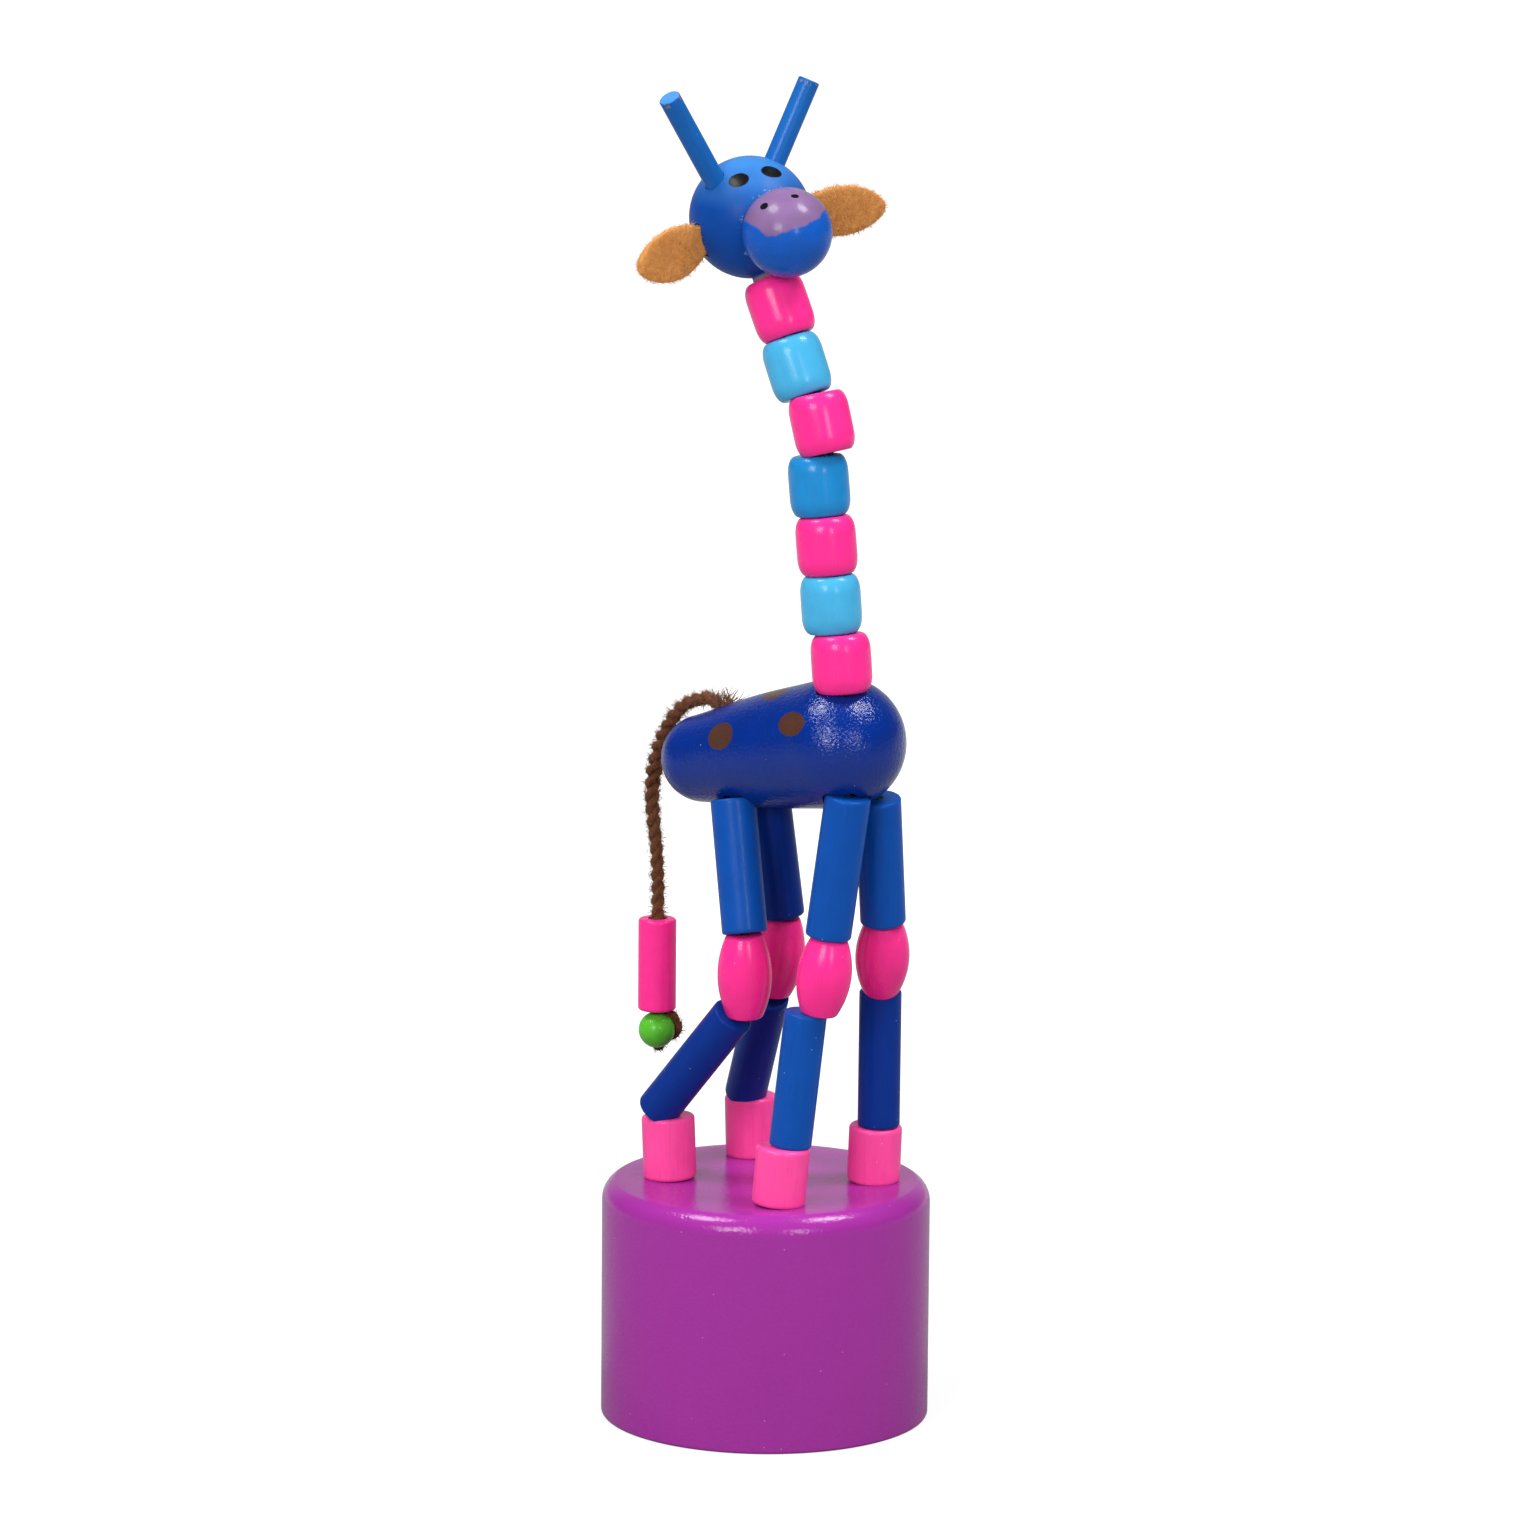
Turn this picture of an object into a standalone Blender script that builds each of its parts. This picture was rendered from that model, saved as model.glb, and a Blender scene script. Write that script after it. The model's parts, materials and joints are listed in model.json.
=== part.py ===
"""Thumb push puppet: a giraffe of turned wooden beads, strung over a sprung push button.

Frame: the origin is the centre of the base's underside, +Z is up, +X is the way the giraffe
faces and +Y is its left. Lengths are in metres and angles in degrees.
"""

import math

import bmesh
import bpy
import numpy as np
from mathutils import Euler, Matrix, Vector

MM = 0.001

# Clearances
FIT_GAP = 0.3 * MM
SLIDE_CLEARANCE = 0.3 * MM
GLUE_GAP = 0.2 * MM

# Base drum
BASE_DIAMETER = 42.0 * MM
BASE_HEIGHT = 30.7 * MM
BASE_TOP_DIAMETER = 38.8 * MM
BASE_SHOULDER_HEIGHT = 2.6 * MM
BASE_SIDE_WALL = 3.4 * MM
BASE_TOP_WALL = 5.0 * MM
BASE_FOOT_CHAMFER = 0.5 * MM
BASE_HOLE_DIAMETER = 2.4 * MM
HOLE_SPACING_X = 20.1 * MM
HOLE_SPACING_Y = 17.5 * MM

# Push button and its spring
BUTTON_THICKNESS = 6.5 * MM
BUTTON_EDGE_CHAMFER = 0.7 * MM
BUTTON_BOSS_DIAMETER = 7.2 * MM
BUTTON_BOSS_HEIGHT = 2.0 * MM
BUTTON_HOLE_DIAMETER = 1.7 * MM
BUTTON_HOLE_SPACING_X = 13.5 * MM
BUTTON_HOLE_SPACING_Y = 11.5 * MM
THUMB_RECESS = 4.6 * MM
SPRING_BORE = 8.2 * MM
SPRING_WIRE = 0.8 * MM
SPRING_TURNS = 5
SPRING_END_PITCH = 1.3 * MM

# Strings and their knots
STRING_DIAMETER = 0.9 * MM
STRING_PAIR_SPACING = 1.1 * MM
KNOT_DIAMETER = 2.4 * MM
KNOT_POCKET_DIAMETER = 3.4 * MM
KNOT_POCKET_DEPTH = 2.9 * MM

# Leg pieces
LEG_BORE = 3.0 * MM
HOOF_DIAMETER = 6.8 * MM
HOOF_LENGTH = 6.7 * MM
HOOF_ROUND = 0.5 * MM
SHIN_DIAMETER = 5.4 * MM
SHIN_LENGTH = 17.1 * MM
THIGH_DIAMETER = 5.8 * MM
THIGH_LENGTH = 15.4 * MM
TUBE_CHAMFER = 0.35 * MM
KNEE_DIAMETER = 6.9 * MM
KNEE_LENGTH = 9.6 * MM
KNEE_END_DIAMETER = 4.6 * MM

# Body egg: a large ball in front and a small one behind, with a full waist between
BODY_FRONT_DIAMETER = 16.7 * MM
BODY_REAR_DIAMETER = 11.2 * MM
BODY_SPAN = 21.2 * MM
BODY_FULLNESS = 0.3 * MM
BODY_PITCH = 9.5
BODY_YAW = 6.5
HIP_SPACING_X = 17.0 * MM
HIP_SPACING_Y = 7.4 * MM
HIP_SETBACK = 5.1 * MM
HIP_HOLE_DIAMETER = 2.4 * MM
HIP_PIVOT_FORWARD = 0.95 * MM
HIP_PIVOT_DOWN = 0.61 * MM
RUMP_HOLE_SETBACK = 17.9 * MM
RUMP_HOLE_DIAMETER = 2.6 * MM
RUMP_HOLE_DEPTH = 5.0 * MM

# Neck beads
NECK_BEADS = 7
NECK_LENGTH = 49.35 * MM
NECK_BEAD_DIAMETER = 7.4 * MM
NECK_BEAD_LENGTH = NECK_LENGTH / NECK_BEADS
NECK_BEAD_END_DIAMETER = 5.6 * MM
NECK_BEAD_ROUND = 1.5 * MM
NECK_BORE = 3.4 * MM
NECK_ROOT_FORWARD = 1.26 * MM
NECK_ROOT_LEFT = -2.3 * MM
NECK_SEAT_DEPTH = 1.1 * MM
NECK_HOLE_DEPTH = 8.0 * MM

# Head
HEAD_DIAMETER = 15.3 * MM
HEAD_STUB_DIAMETER = 4.6 * MM
HEAD_STUB_LENGTH = 0.6 * MM
HEAD_HOLE_DEPTH = 6.0 * MM
HEAD_YAW = -16.4
HEAD_PITCH = 6.8
HEAD_ROLL = -12.5
MUZZLE_DIAMETER = 11.2 * MM
MUZZLE_REACH = 8.7 * MM
HORN_DIAMETER = 2.75 * MM
HORN_LENGTHS = {"left": 10.9 * MM, "right": 13.0 * MM}
HORN_SOCKET_DEPTH = 3.0 * MM
HORN_SPREAD = 36.0
EAR_LENGTH = 10.0 * MM
EAR_WIDTH = 6.4 * MM
EAR_THICKNESS = 1.2 * MM
EAR_ROOT = 1.6 * MM

# Tail
YARN_DIAMETER = 1.5 * MM
YARN_PLY_DIAMETER = 0.9 * MM
TAIL_BEAD_DIAMETER = 4.9 * MM
TAIL_BEAD_LENGTH = 12.0 * MM
TAIL_BEAD_BORE = 2.4 * MM
TAIL_BEAD_CHAMFER = 0.4 * MM
TAIL_BALL_DIAMETER = 4.7 * MM
TAIL_BALL_BORE = 1.6 * MM

# Facets
TURN_STEPS = 16
LARGE_TURN_STEPS = 32
BASE_TURN_STEPS = 48
DRILL_SIDES = 12

# How each leg stands: (forward lean, side lean) of its hoof, shin, knee and thigh, going up,
# and how many millimetres forward and to the left each has slipped on the piece below. The left
# front leg stands as given and carries the body. The others bend on until they meet their hips.
CARRYING_LEG = "front_left"
LEG_LEANS = {
    "rear_right": ((-1.9, -1.3), (44.4, 0.3), (3.6, -5.8), (-12.4, 3.5)),
    "rear_left": ((-0.1, -2.2), (35.8, -21.8), (10.9, -4.4), (-3.5, -7.8)),
    "front_right": ((3.5, 3.0), (6.5, 4.6), (8.0, 0.5), (6.5, 0.0)),
    "front_left": ((3.1, -0.7), (1.0, -0.9), (15.5, -15.5), (5.0, -10.0)),
}
LEG_SLIPS = {
    "rear_right": ((0.5, 0.95), (-1.2, -1.2), (1.5, 0.75), (0.1, 0.0)),
    "rear_left": ((-0.2, 0.0), (-0.4, -0.6), (0.2, 0.5), (-0.2, 0.1)),
    "front_right": ((0.0, -0.2), (0.3, 0.9), (1.5, 0.7), (-0.3, 0.0)),
    "front_left": ((0.4, 0.15), (0.6, -0.15), (0.4, -0.4), (0.2, -0.4)),
}
LEG_SIDES = {
    "rear_right": (-1, -1),
    "rear_left": (-1, 1),
    "front_right": (1, -1),
    "front_left": (1, 1),
}

# How the neck stands: the backward lean of each bead and of the head's stub, from the bottom
# up, and how many millimetres each bead has slipped forward on the strings. With slack strings
# each bead, and then the head, rolls forward over the rim below by the fold.
NECK_LEANS = (5.0, 5.0, 6.0, 6.0, 15.0, 22.0, 24.0, 24.0)
NECK_SLIPS = (0.7, -0.4, -0.5, -0.95, 0.95, -0.7, -0.3)
NECK_FOLD = 10.0
HORN_SPLAYS = {"left": 35.0, "right": 22.0}
EAR_DROOPS = {"left": 12.0, "right": 8.0}

# The tail yarn's route, from the hole in the rump to the top of the tail bead.
TAIL_ROUTE = (
    Vector((-0.00435, -0.00395, 0.0914)),
    Vector((-0.00445, -0.00395, 0.093)),
    Vector((-0.0054, -0.004, 0.0941)),
    Vector((-0.007, -0.004, 0.0939)),
    Vector((-0.0088, -0.004, 0.0931)),
    Vector((-0.0107, -0.004, 0.0919)),
    Vector((-0.0126, -0.004, 0.0902)),
    Vector((-0.0143, -0.004, 0.0876)),
    Vector((-0.0156, -0.0039, 0.0848)),
    Vector((-0.0164, -0.0038, 0.0819)),
    Vector((-0.01675, -0.0037, 0.0786)),
    Vector((-0.0165, -0.0036, 0.0753)),
    Vector((-0.0161, -0.0035, 0.0719)),
    Vector((-0.0159, -0.0035, 0.068)),
    Vector((-0.0159, -0.0035, 0.0633)),
)
TAIL_ROOT_POINTS = 7
TAIL_LOOP_SIDE = Vector((0.75, 0.66, 0.0))

# Colours: base colour and roughness
PURPLE = ((0.35, 0.036, 0.32), 0.25)
PINK = ((1.0, 0.026, 0.28), 0.3)
BODY_BLUE = ((0.005, 0.038, 0.33), 0.2)
LEG_BLUE = ((0.007, 0.1, 0.46), 0.35)
HEAD_BLUE = ((0.012, 0.12, 0.52), 0.25)
LIGHT_BLUE = ((0.08, 0.46, 0.79), 0.3)
MID_BLUE = ((0.026, 0.28, 0.68), 0.3)
GREEN = ((0.115, 0.51, 0.045), 0.3)
FELT = ((0.51, 0.22, 0.053), 0.95)
YARN = ((0.14, 0.045, 0.013), 0.95)
BARE_WOOD = ((0.62, 0.43, 0.25), 0.6)
STEEL = ((0.6, 0.6, 0.62), 0.3)
STRING = ((0.03, 0.028, 0.03), 0.85)
NECK_COLOURS = (PINK, LIGHT_BLUE, PINK, MID_BLUE, PINK, LIGHT_BLUE, PINK)

BASE_RADIUS = BASE_DIAMETER / 2
BORE_RADIUS = BASE_RADIUS - BASE_SIDE_WALL
CEILING = BASE_HEIGHT - BASE_TOP_WALL
BUTTON_TOP = THUMB_RECESS + BUTTON_THICKNESS
HEAD_RADIUS = HEAD_DIAMETER / 2
FRONT_RADIUS = BODY_FRONT_DIAMETER / 2
REAR_RADIUS = BODY_REAR_DIAMETER / 2
SETTLE_PASSES = 10
REACH_PASSES = 4
REACH_STEP = 10.0
OVERRUN = 2.0 * MM


def clear_scene():
    for item in list(bpy.data.objects):
        bpy.data.objects.remove(item, do_unlink=True)


def new_collection(name):
    collection = bpy.data.collections.new(name)
    bpy.context.scene.collection.children.link(collection)
    return collection


clear_scene()
PARTS = new_collection("push_puppet")
CUTTERS = new_collection("cutters")


def paint(item, colour, metallic=0.0):
    """Give an object its own material."""
    base, roughness = colour
    material = bpy.data.materials.new(item.name)
    material.use_nodes = True
    shader = material.node_tree.nodes["Principled BSDF"]
    shader.inputs["Base Color"].default_value = (*base, 1.0)
    shader.inputs["Roughness"].default_value = roughness
    shader.inputs["Metallic"].default_value = metallic
    item.data.materials.append(material)


def lean(forward, side=0.0):
    """The unit vector that points up, leaning forward and to the left by two angles."""
    direction = Vector((math.tan(math.radians(forward)), math.tan(math.radians(side)), 1.0))
    return direction.normalized()


def along(origin, direction):
    """The matrix that puts a local Z axis at an origin, along a direction."""
    turn = Vector((0.0, 0.0, 1.0)).rotation_difference(direction)
    return Matrix.Translation(origin) @ turn.to_matrix().to_4x4()


def ahead(direction):
    """The unit vector square to a piece's axis, on its forward side."""
    forward = Vector((1.0, 0.0, 0.0))
    return (forward - direction * forward.dot(direction)).normalized()


def arc(centre, radius, start, end, count):
    """Points on an arc in the (radius, height) plane, from one angle above level to another."""
    points = []
    for step in range(count + 1):
        angle = math.radians(start + (end - start) * step / count)
        points.append((centre[0] + radius * math.cos(angle), centre[1] + radius * math.sin(angle)))
    return points


def turned(name, profile, matrix, colour, steps=TURN_STEPS, closed=True):
    """A turned solid: a profile of (radius, height), down its outer side, round local Z."""
    mesh = bpy.data.meshes.new(name)
    points = [(radius, 0.0, height) for radius, height in profile]
    edges = [(i, i + 1) for i in range(len(points) - 1)]
    if closed:
        edges.append((len(points) - 1, 0))
    mesh.from_pydata(points, edges, [])
    item = bpy.data.objects.new(name, mesh)
    item.matrix_world = matrix
    PARTS.objects.link(item)
    screw = item.modifiers.new("turn", "SCREW")
    screw.axis = "Z"
    screw.steps = steps
    screw.render_steps = steps
    screw.use_merge_vertices = True
    screw.merge_threshold = 0.000001
    screw.use_smooth_shade = True
    paint(item, colour)
    return item


def round_bead(length, diameter, end_diameter, bore, corner):
    """The profile of a drilled bead with rounded shoulders, centred on its middle."""
    half = length / 2
    radius = diameter / 2
    corner = min(corner, half, radius - bore / 2)
    flat = min(end_diameter / 2, radius - corner / 2)
    shoulder = (half + (half - corner)) / 2
    hip = radius - (radius - flat) * 0.28
    upper = [(flat, half), (hip, shoulder), (radius, half - corner)]
    belly = radius + corner * 0.06
    lower = [(r, -z) for r, z in reversed(upper)]
    return [(bore / 2, half), *upper, (belly, 0.0), *lower, (bore / 2, -half)]


def barrel(length, diameter, end_diameter, bore, rings=6):
    """The profile of a drilled barrel whose sides are one arc."""
    half = length / 2
    rise = (diameter - end_diameter) / 2
    sides = []
    for step in range(rings + 1):
        share = 1 - 2 * step / rings
        sides.append((diameter / 2 - rise * share * share, half * share))
    return [(bore / 2, half), *sides, (bore / 2, -half)]


def tube(length, diameter, bore, chamfer):
    """The profile of a drilled cylinder with small chamfers."""
    half = length / 2
    radius = diameter / 2
    side = [(radius - chamfer, half), (radius, half - chamfer)]
    side += [(radius, chamfer - half), (radius - chamfer, -half)]
    return [(bore / 2, half), *side, (bore / 2, -half)]


def cutter_object(name, mesh, matrix):
    item = bpy.data.objects.new(name, mesh)
    item.matrix_world = matrix
    item.hide_render = True
    item.display_type = "WIRE"
    CUTTERS.objects.link(item)
    return item


def cut(item, cutter):
    boolean = item.modifiers.new(cutter.name, "BOOLEAN")
    boolean.operation = "DIFFERENCE"
    boolean.solver = "EXACT"
    boolean.object = cutter


def drill(item, name, start, end, diameter, sides=DRILL_SIDES):
    """Cut a round hole in an object, from one point to another."""
    mesh = bpy.data.meshes.new(name)
    shape = bmesh.new()
    bmesh.ops.create_cone(
        shape, cap_ends=True, segments=sides, radius1=diameter / 2, radius2=diameter / 2,
        depth=(end - start).length)
    shape.to_mesh(mesh)
    shape.free()
    cut(item, cutter_object(name, mesh, along((start + end) / 2, (end - start).normalized())))


def rod(name, points, diameter, colour, widths=None, resolution=2, metallic=0.0):
    """A round wire, string or yarn along points, with filled ends."""
    curve = bpy.data.curves.new(name, "CURVE")
    curve.dimensions = "3D"
    curve.bevel_depth = diameter / 2
    curve.bevel_resolution = resolution
    curve.use_fill_caps = True
    spline = curve.splines.new("POLY")
    spline.points.add(len(points) - 1)
    for index, point in enumerate(points):
        spline.points[index].co = (*point, 1.0)
        if widths:
            spline.points[index].radius = widths[index]
    item = bpy.data.objects.new(name, curve)
    PARTS.objects.link(item)
    paint(item, colour, metallic)
    return item


def smooth_route(points, divisions):
    """Points on a smooth curve through given ones, with some divisions to each stretch."""
    route = []
    last = len(points) - 1
    for index in range(last):
        before = points[max(index - 1, 0)]
        start = points[index]
        end = points[index + 1]
        after = points[min(index + 2, last)]
        for step in range(divisions):
            t = step / divisions
            route.append(0.5 * (
                2 * start + (end - before) * t
                + (2 * before - 5 * start + 4 * end - after) * t ** 2
                + (3 * start - before - 3 * end + after) * t ** 3))
    return route + [points[last]]


def pivot(item, name, location):
    """Hang an object on an empty that stands on its joint's axis."""
    empty = bpy.data.objects.new(name, None)
    empty.empty_display_size = 2 * MM
    empty.matrix_world = Matrix.Translation(location)
    PARTS.objects.link(empty)
    item.parent = empty
    item.matrix_parent_inverse = empty.matrix_world.inverted()


def rim_point(lower, upper):
    """Where a piece's rim meets the rim below, each given as (end, axis, reach)."""
    rims = [end + ahead(axis) * reach for end, axis, reach in (lower, upper)]
    return (rims[0] + rims[1]) / 2


def rolled(motion, rim, angle):
    """A motion with one more roll forward over a rim."""
    roll = Matrix.Rotation(math.radians(angle), 4, "Y")
    return motion @ Matrix.Translation(rim) @ roll @ Matrix.Translation(-rim)


def still_point(motion, angle, beside):
    """The point that a whole motion, which turns about Y by an angle, leaves where it is."""
    shift = motion.translation
    spread = 1 / math.tan(math.radians(angle) / 2)
    return Vector(((shift.x + spread * shift.z) / 2, beside.y, (shift.z - spread * shift.x) / 2))


def base_hole(leg):
    """Where a leg's string comes out of the base's top."""
    fore, left = LEG_SIDES[leg]
    return Vector((
        fore * HOLE_SPACING_X / 2, left * HOLE_SPACING_Y / 2, BASE_HEIGHT))


def button_hole(leg):
    """Where a leg's string passes through the button's top."""
    fore, left = LEG_SIDES[leg]
    return Vector((
        fore * BUTTON_HOLE_SPACING_X / 2, left * BUTTON_HOLE_SPACING_Y / 2, BUTTON_TOP))


def body_turn():
    return Matrix.Rotation(math.radians(BODY_YAW), 4, "Z")


def egg_radius(place):
    """The body's radius at a place on its axis, measured forward from the rear ball's centre."""
    slope = (FRONT_RADIUS - REAR_RADIUS) / BODY_SPAN
    rear_edge = -REAR_RADIUS * slope
    front_edge = BODY_SPAN - FRONT_RADIUS * slope
    if place <= rear_edge:
        return math.sqrt(max(REAR_RADIUS ** 2 - place ** 2, 0.0))
    if place >= front_edge:
        return math.sqrt(max(FRONT_RADIUS ** 2 - (place - BODY_SPAN) ** 2, 0.0))
    cosine = math.sqrt(1 - slope ** 2)
    share = (place - rear_edge) / (front_edge - rear_edge)
    straight = (REAR_RADIUS + (FRONT_RADIUS - REAR_RADIUS) * share) * cosine
    return straight + BODY_FULLNESS * math.sin(math.pi * share) ** 2


def egg_axis():
    """The body's axis, in the frame of its front ball's centre before it is yawed."""
    return lean(90.0 - BODY_PITCH) if BODY_PITCH > 0 else Vector((1.0, 0.0, 0.0))


def egg_clearance(point):
    """About how far a point in the body's frame lies outside the egg."""
    axis = egg_axis()
    offset = point + axis * BODY_SPAN
    place = offset.dot(axis)
    radius = (offset - axis * place).length
    if place < 0:
        return offset.length - REAR_RADIUS
    if place > BODY_SPAN:
        return point.length - FRONT_RADIUS
    return radius - egg_radius(place)


def hip_point(leg, direction):
    """The centre of a thigh's top in the body's frame, just clear of the belly."""
    fore, left = LEG_SIDES[leg]
    place = Vector((fore * HIP_SPACING_X / 2 - HIP_SETBACK, left * HIP_SPACING_Y / 2, 0.0))
    across = direction.orthogonal().normalized()
    rim = []
    for step in range(TURN_STEPS):
        turn = Matrix.Rotation(2 * math.pi * step / TURN_STEPS, 3, direction)
        rim.append(turn @ across * (THIGH_DIAMETER / 2))
    low = -2 * BODY_FRONT_DIAMETER
    high = 0.0
    for _ in range(40):
        middle = (low + high) / 2
        place.z = middle
        if min(egg_clearance(place + offset) for offset in rim) > FIT_GAP:
            low = middle
        else:
            high = middle
    return place


def setback(below, above, reach):
    """How far two pieces' ends stand from the point where their axes meet."""
    bend = below.angle(above)
    return FIT_GAP / 2 + reach * math.tan(bend / 2)


class Leg:
    """One leg's pieces, each with its axis and its two ends, from the hoof to the thigh."""

    PIECES = ("hoof", "shin", "knee", "thigh")
    LENGTHS = (HOOF_LENGTH, SHIN_LENGTH, KNEE_LENGTH, THIGH_LENGTH)
    REACHES = (
        min(HOOF_DIAMETER, SHIN_DIAMETER) / 2,
        min(SHIN_DIAMETER, KNEE_END_DIAMETER) / 2,
        min(KNEE_END_DIAMETER, THIGH_DIAMETER) / 2,
    )

    def __init__(self, name):
        self.name = name
        self.angles = [angle for pair in LEG_LEANS[name] for angle in pair]
        self.stand()

    def stand(self):
        """Stack the pieces up from the base on their axes."""
        self.axes = [lean(*self.angles[i:i + 2]) for i in range(0, len(self.angles), 2)]
        hoof = self.axes[0]
        tilt = math.sqrt(1 - hoof.z ** 2) * HOOF_DIAMETER / 2
        self.slips = [Vector((fore, left, 0.0)) * MM for fore, left in LEG_SLIPS[self.name]]
        foot = base_hole(self.name) + self.slips[0] + Vector((0.0, 0.0, tilt + FIT_GAP))
        self.joints = [(base_hole(self.name) + foot) / 2]
        self.ends = []
        for index, axis in enumerate(self.axes):
            top = foot + axis * self.LENGTHS[index]
            self.ends.append((foot, top))
            if index < len(self.REACHES):
                above = self.axes[index + 1]
                step = setback(axis, above, self.REACHES[index])
                slip = self.slips[index + 1]
                self.joints.append(top + axis * step + slip / 2)
                foot = top + (axis + above) * step + slip

    def top(self):
        return self.ends[-1][1]

    def moved_top(self, index, change):
        """Where the thigh's top goes when one angle changes."""
        kept = self.angles[index]
        self.angles[index] = kept + change
        self.stand()
        top = self.top().copy()
        self.angles[index] = kept
        self.stand()
        return top

    def reach(self, target):
        """Bend the shin, knee and thigh as little as need be to bring the thigh to its hip."""
        bends = range(2, len(self.angles))
        for _ in range(REACH_PASSES):
            top = self.top().copy()
            rates = np.array([self.moved_top(i, 1.0) - top for i in bends]).T
            changes = np.linalg.pinv(rates) @ np.array(target - top)
            for i, change in zip(bends, changes):
                self.angles[i] += float(max(-REACH_STEP, min(REACH_STEP, change)))
            self.stand()


def settle():
    """Stand the legs up, lay the body on the carrying leg and bend the other legs to it."""
    legs = {name: Leg(name) for name in LEG_SIDES}
    turn = body_turn()
    unturn = turn.inverted()
    carrier = legs[CARRYING_LEG]
    carried = turn @ hip_point(CARRYING_LEG, unturn @ carrier.axes[-1])
    origin = carrier.top() - carried
    for _ in range(SETTLE_PASSES):
        for name, leg in legs.items():
            if leg is not carrier:
                leg.reach(origin + turn @ hip_point(name, unturn @ leg.axes[-1]))
    return legs, Matrix.Translation(origin) @ turn


LEGS, BODY_FRAME = settle()


def body_point(forward, left, up):
    """A point given from the front ball's centre, in world coordinates."""
    return BODY_FRAME @ Vector((forward, left, up))


def body_direction(direction):
    return (BODY_FRAME.to_3x3() @ direction).normalized()


def crest_height(forward, left=0.0):
    """How high the body's top stands over the front ball's centre, at a place on it."""
    low = forward * math.tan(math.radians(BODY_PITCH))
    high = low + BODY_FRONT_DIAMETER
    for _ in range(40):
        middle = (low + high) / 2
        if egg_clearance(Vector((forward, left, middle))) > 0:
            high = middle
        else:
            low = middle
    return low


class Neck:
    """The neck's line: each bead's axis and its two ends on the strings, then the head's."""

    def __init__(self):
        self.axes = [body_direction(lean(-angle)) for angle in NECK_LEANS]
        height = crest_height(NECK_ROOT_FORWARD, NECK_ROOT_LEFT)
        surface = body_point(NECK_ROOT_FORWARD, NECK_ROOT_LEFT, height)
        self.root = surface - self.axes[0] * NECK_SEAT_DEPTH
        self.ends = []
        foot = self.root + self.axes[0] * FIT_GAP
        for index in range(NECK_BEADS):
            top = foot + self.axes[index] * NECK_BEAD_LENGTH
            self.ends.append((foot, top))
            step = setback(self.axes[index], self.axes[index + 1], NECK_BEAD_END_DIAMETER / 2)
            foot = top + (self.axes[index] + self.axes[index + 1]) * step
        self.stub_end = foot

    def slip(self, index):
        return ahead(self.axes[index]) * NECK_SLIPS[index] * MM

    def head_centre(self):
        return self.stub_end + self.axes[-1] * (HEAD_RADIUS + HEAD_STUB_LENGTH)


NECK = Neck()


def make_base():
    shoulder = BASE_RADIUS - BASE_TOP_DIAMETER / 2
    profile = [(0.0, BASE_HEIGHT)]
    for radius, height in arc((0.0, 0.0), 1.0, 90.0, 0.0, 5):
        profile.append((
            BASE_TOP_DIAMETER / 2 + shoulder * radius,
            BASE_HEIGHT - BASE_SHOULDER_HEIGHT * (1 - height)))
    profile += [
        (BASE_RADIUS, BASE_FOOT_CHAMFER), (BASE_RADIUS - BASE_FOOT_CHAMFER, 0.0),
        (BORE_RADIUS, 0.0), (BORE_RADIUS, CEILING), (0.0, CEILING)]
    base = turned("base", profile, Matrix(), PURPLE, BASE_TURN_STEPS, closed=False)
    for leg in LEG_SIDES:
        top = base_hole(leg)
        bottom = Vector((top.x, top.y, CEILING))
        over = Vector((0.0, 0.0, OVERRUN))
        drill(base, f"base_hole_{leg}", bottom - over, top + over, BASE_HOLE_DIAMETER)


def make_button():
    radius = BORE_RADIUS - SLIDE_CLEARANCE
    chamfer = BUTTON_EDGE_CHAMFER
    boss = BUTTON_BOSS_DIAMETER / 2
    boss_top = BUTTON_TOP + BUTTON_BOSS_HEIGHT
    profile = [
        (0.0, boss_top), (boss - chamfer, boss_top), (boss, boss_top - chamfer), (boss, BUTTON_TOP),
        (radius - chamfer, BUTTON_TOP), (radius, BUTTON_TOP - chamfer),
        (radius, THUMB_RECESS + chamfer), (radius - chamfer, THUMB_RECESS), (0.0, THUMB_RECESS)]
    button = turned("push_button", profile, Matrix(), BARE_WOOD, LARGE_TURN_STEPS, closed=False)
    over = Vector((0.0, 0.0, OVERRUN))
    for leg in LEG_SIDES:
        top = button_hole(leg)
        bottom = top - Vector((0.0, 0.0, BUTTON_THICKNESS))
        pocket = bottom + Vector((0.0, 0.0, KNOT_POCKET_DEPTH))
        drill(button, f"button_hole_{leg}", bottom - over, top + over, BUTTON_HOLE_DIAMETER)
        drill(button, f"knot_pocket_{leg}", bottom - over, pocket, KNOT_POCKET_DIAMETER)
    pivot(button, "pivot_button", Vector((0.0, 0.0, BUTTON_TOP)))


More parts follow.
